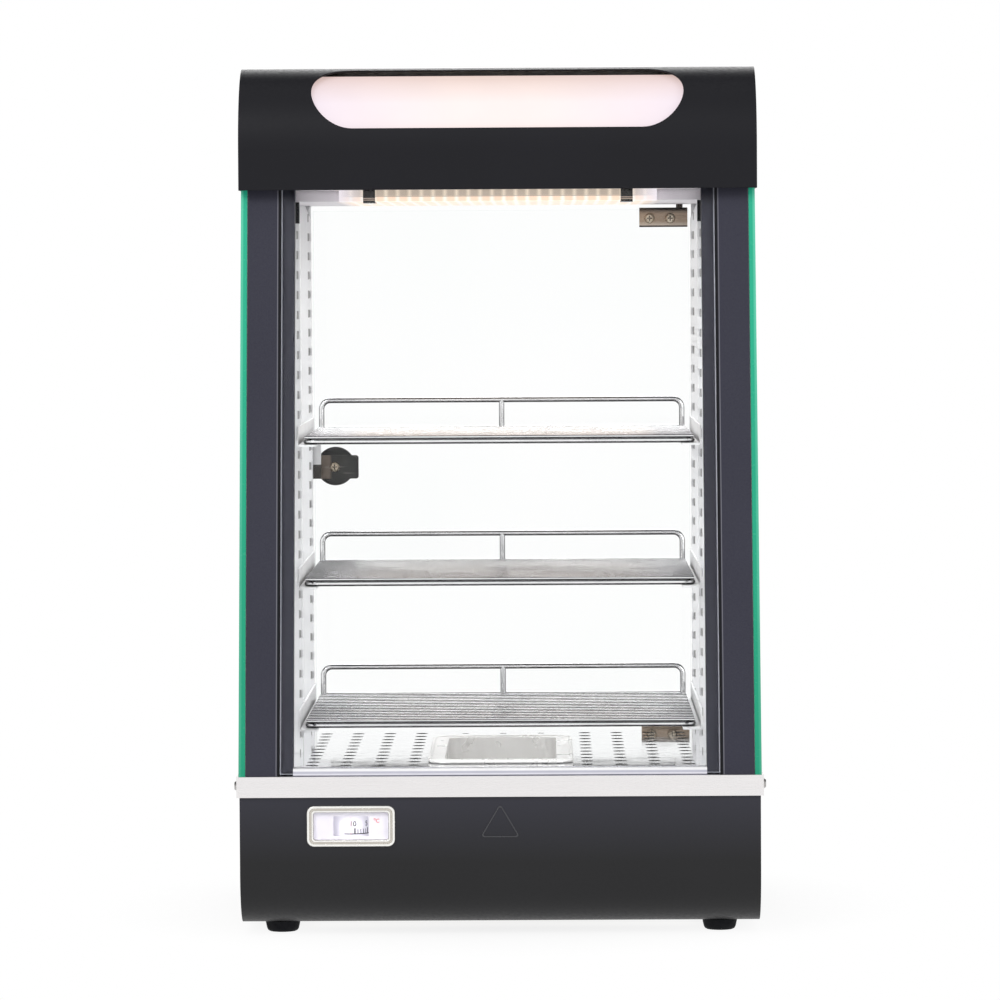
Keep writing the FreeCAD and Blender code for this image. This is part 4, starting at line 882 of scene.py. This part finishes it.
def finer_pieces(finishes):
    """The pieces that are shaped here and not in the CAD model."""
    meter_bezel(finishes["bezel_silver"])
    triangle_mark(moulded("mark_gloss", (0.035, 0.035, 0.04), (0.055, 0.055, 0.062), rough=(0.25, 0.35)))
    turned_feet(finishes["rubber"])
    drum_scale(moulded("scale_ink", (0.012, 0.012, 0.014), (0.03, 0.03, 0.034), rough=(0.5, 0.6)))
    meter_marks(moulded("red_ink", (0.75, 0.10, 0.09), (0.85, 0.20, 0.18), rough=(0.5, 0.6)))
    panel_marks(moulded("white_ink", (0.72, 0.72, 0.72), (0.8, 0.8, 0.8), rough=(0.5, 0.6)))


# ---------------------------------------------------------------- stage


def floor():
    mesh = bpy.data.meshes.new("floor")
    shape = bmesh.new()
    bmesh.ops.create_circle(shape, cap_ends=True, segments=96, radius=14.0)
    shape.to_mesh(mesh)
    shape.free()
    mesh.materials.append(white_floor())
    made = bpy.data.objects.new("floor", mesh)
    bpy.context.scene.collection.objects.link(made)


def soft_light(name, size, power, place):
    """A rectangular lamp turned to the middle of the case."""
    middle = Vector((0, 0, 0.3))
    data = bpy.data.lights.new(name, "AREA")
    data.shape = "RECTANGLE"
    data.size, data.size_y = size
    data.energy = power
    light = bpy.data.objects.new(name, data)
    light.location = place
    light.rotation_euler = (middle - Vector(place)).to_track_quat("-Z", "Y").to_euler()
    bpy.context.scene.collection.objects.link(light)


def studio():
    """White surround: full white where it is seen directly or through glass, dimmer in reflections."""
    world = bpy.data.worlds.new("studio")
    bpy.context.scene.world = world
    world.use_nodes = True
    w = Nodes(world.node_tree)
    toward = w.add("SeparateXYZ", {"Vector": w.add("TexCoord").outputs["Generated"]}).outputs
    grade = w.remap(toward["Z"], -0.15, 0.75, 0.40, 0.78)
    # In reflections the front, the top and the far end are bright, with a dark band round the sides.
    front = w.remap(toward["Y"], -0.15, -0.40)
    back = w.remap(toward["Y"], 0.90, 0.97)
    top = w.remap(toward["Z"], 0.88, 0.97)
    bright = w.math("MAXIMUM", w.math("MAXIMUM", front, back), top)
    mirror = w.remap(bright, 0.0, 1.0, 0.10, 0.88)
    path = w.add("LightPath").outputs
    direct = w.math("MAXIMUM", path["Is Camera Ray"], path["Is Transmission Ray"])
    around = w.add("Mix", {0: path["Is Glossy Ray"], 2: grade, 3: mirror}).outputs[0]
    strength = w.add("Mix", {0: direct, 2: around, 3: 1.0}).outputs[0]
    glow = w.add("Background", {"Color": (1, 1, 1, 1), "Strength": strength}).outputs[0]
    w.tree.links.new(glow, w.add("OutputWorld").inputs["Surface"])
    soft_light("key", (1.6, 1.2), 36, (-1.5, -2.2, 2.3))
    soft_light("fill", (1.2, 1.6), 18, (2.0, -1.8, 1.2))
    soft_light("back", (2.0, 1.0), 24, (0.2, 2.4, 1.8))


def camera():
    """A little above the middle of the case, well in front of the trim, tipped slightly down."""
    data = bpy.data.cameras.new("camera")
    data.sensor_width = 36.0
    data.lens = 188.67
    data.clip_end = 100
    view = bpy.data.objects.new("camera", data)
    view.location = (0.0323, FRONT - CAMERA_AWAY, 0.4515)
    pitch, roll, left = math.radians(2.376), math.radians(0.326), math.radians(0.496)
    turn = (Euler((0, 0, left)).to_matrix() @ Euler((math.pi / 2 - pitch, 0, 0)).to_matrix()
            @ Euler((0, 0, -roll)).to_matrix())
    view.rotation_euler = turn.to_euler()
    bpy.context.scene.collection.objects.link(view)
    bpy.context.scene.camera = view


# ---------------------------------------------------------------- putting it together

bpy.context.scene.view_settings.view_transform = "Standard"
finishes = materials()
dress(finishes)
finer_pieces(finishes)
floor()
studio()
camera()
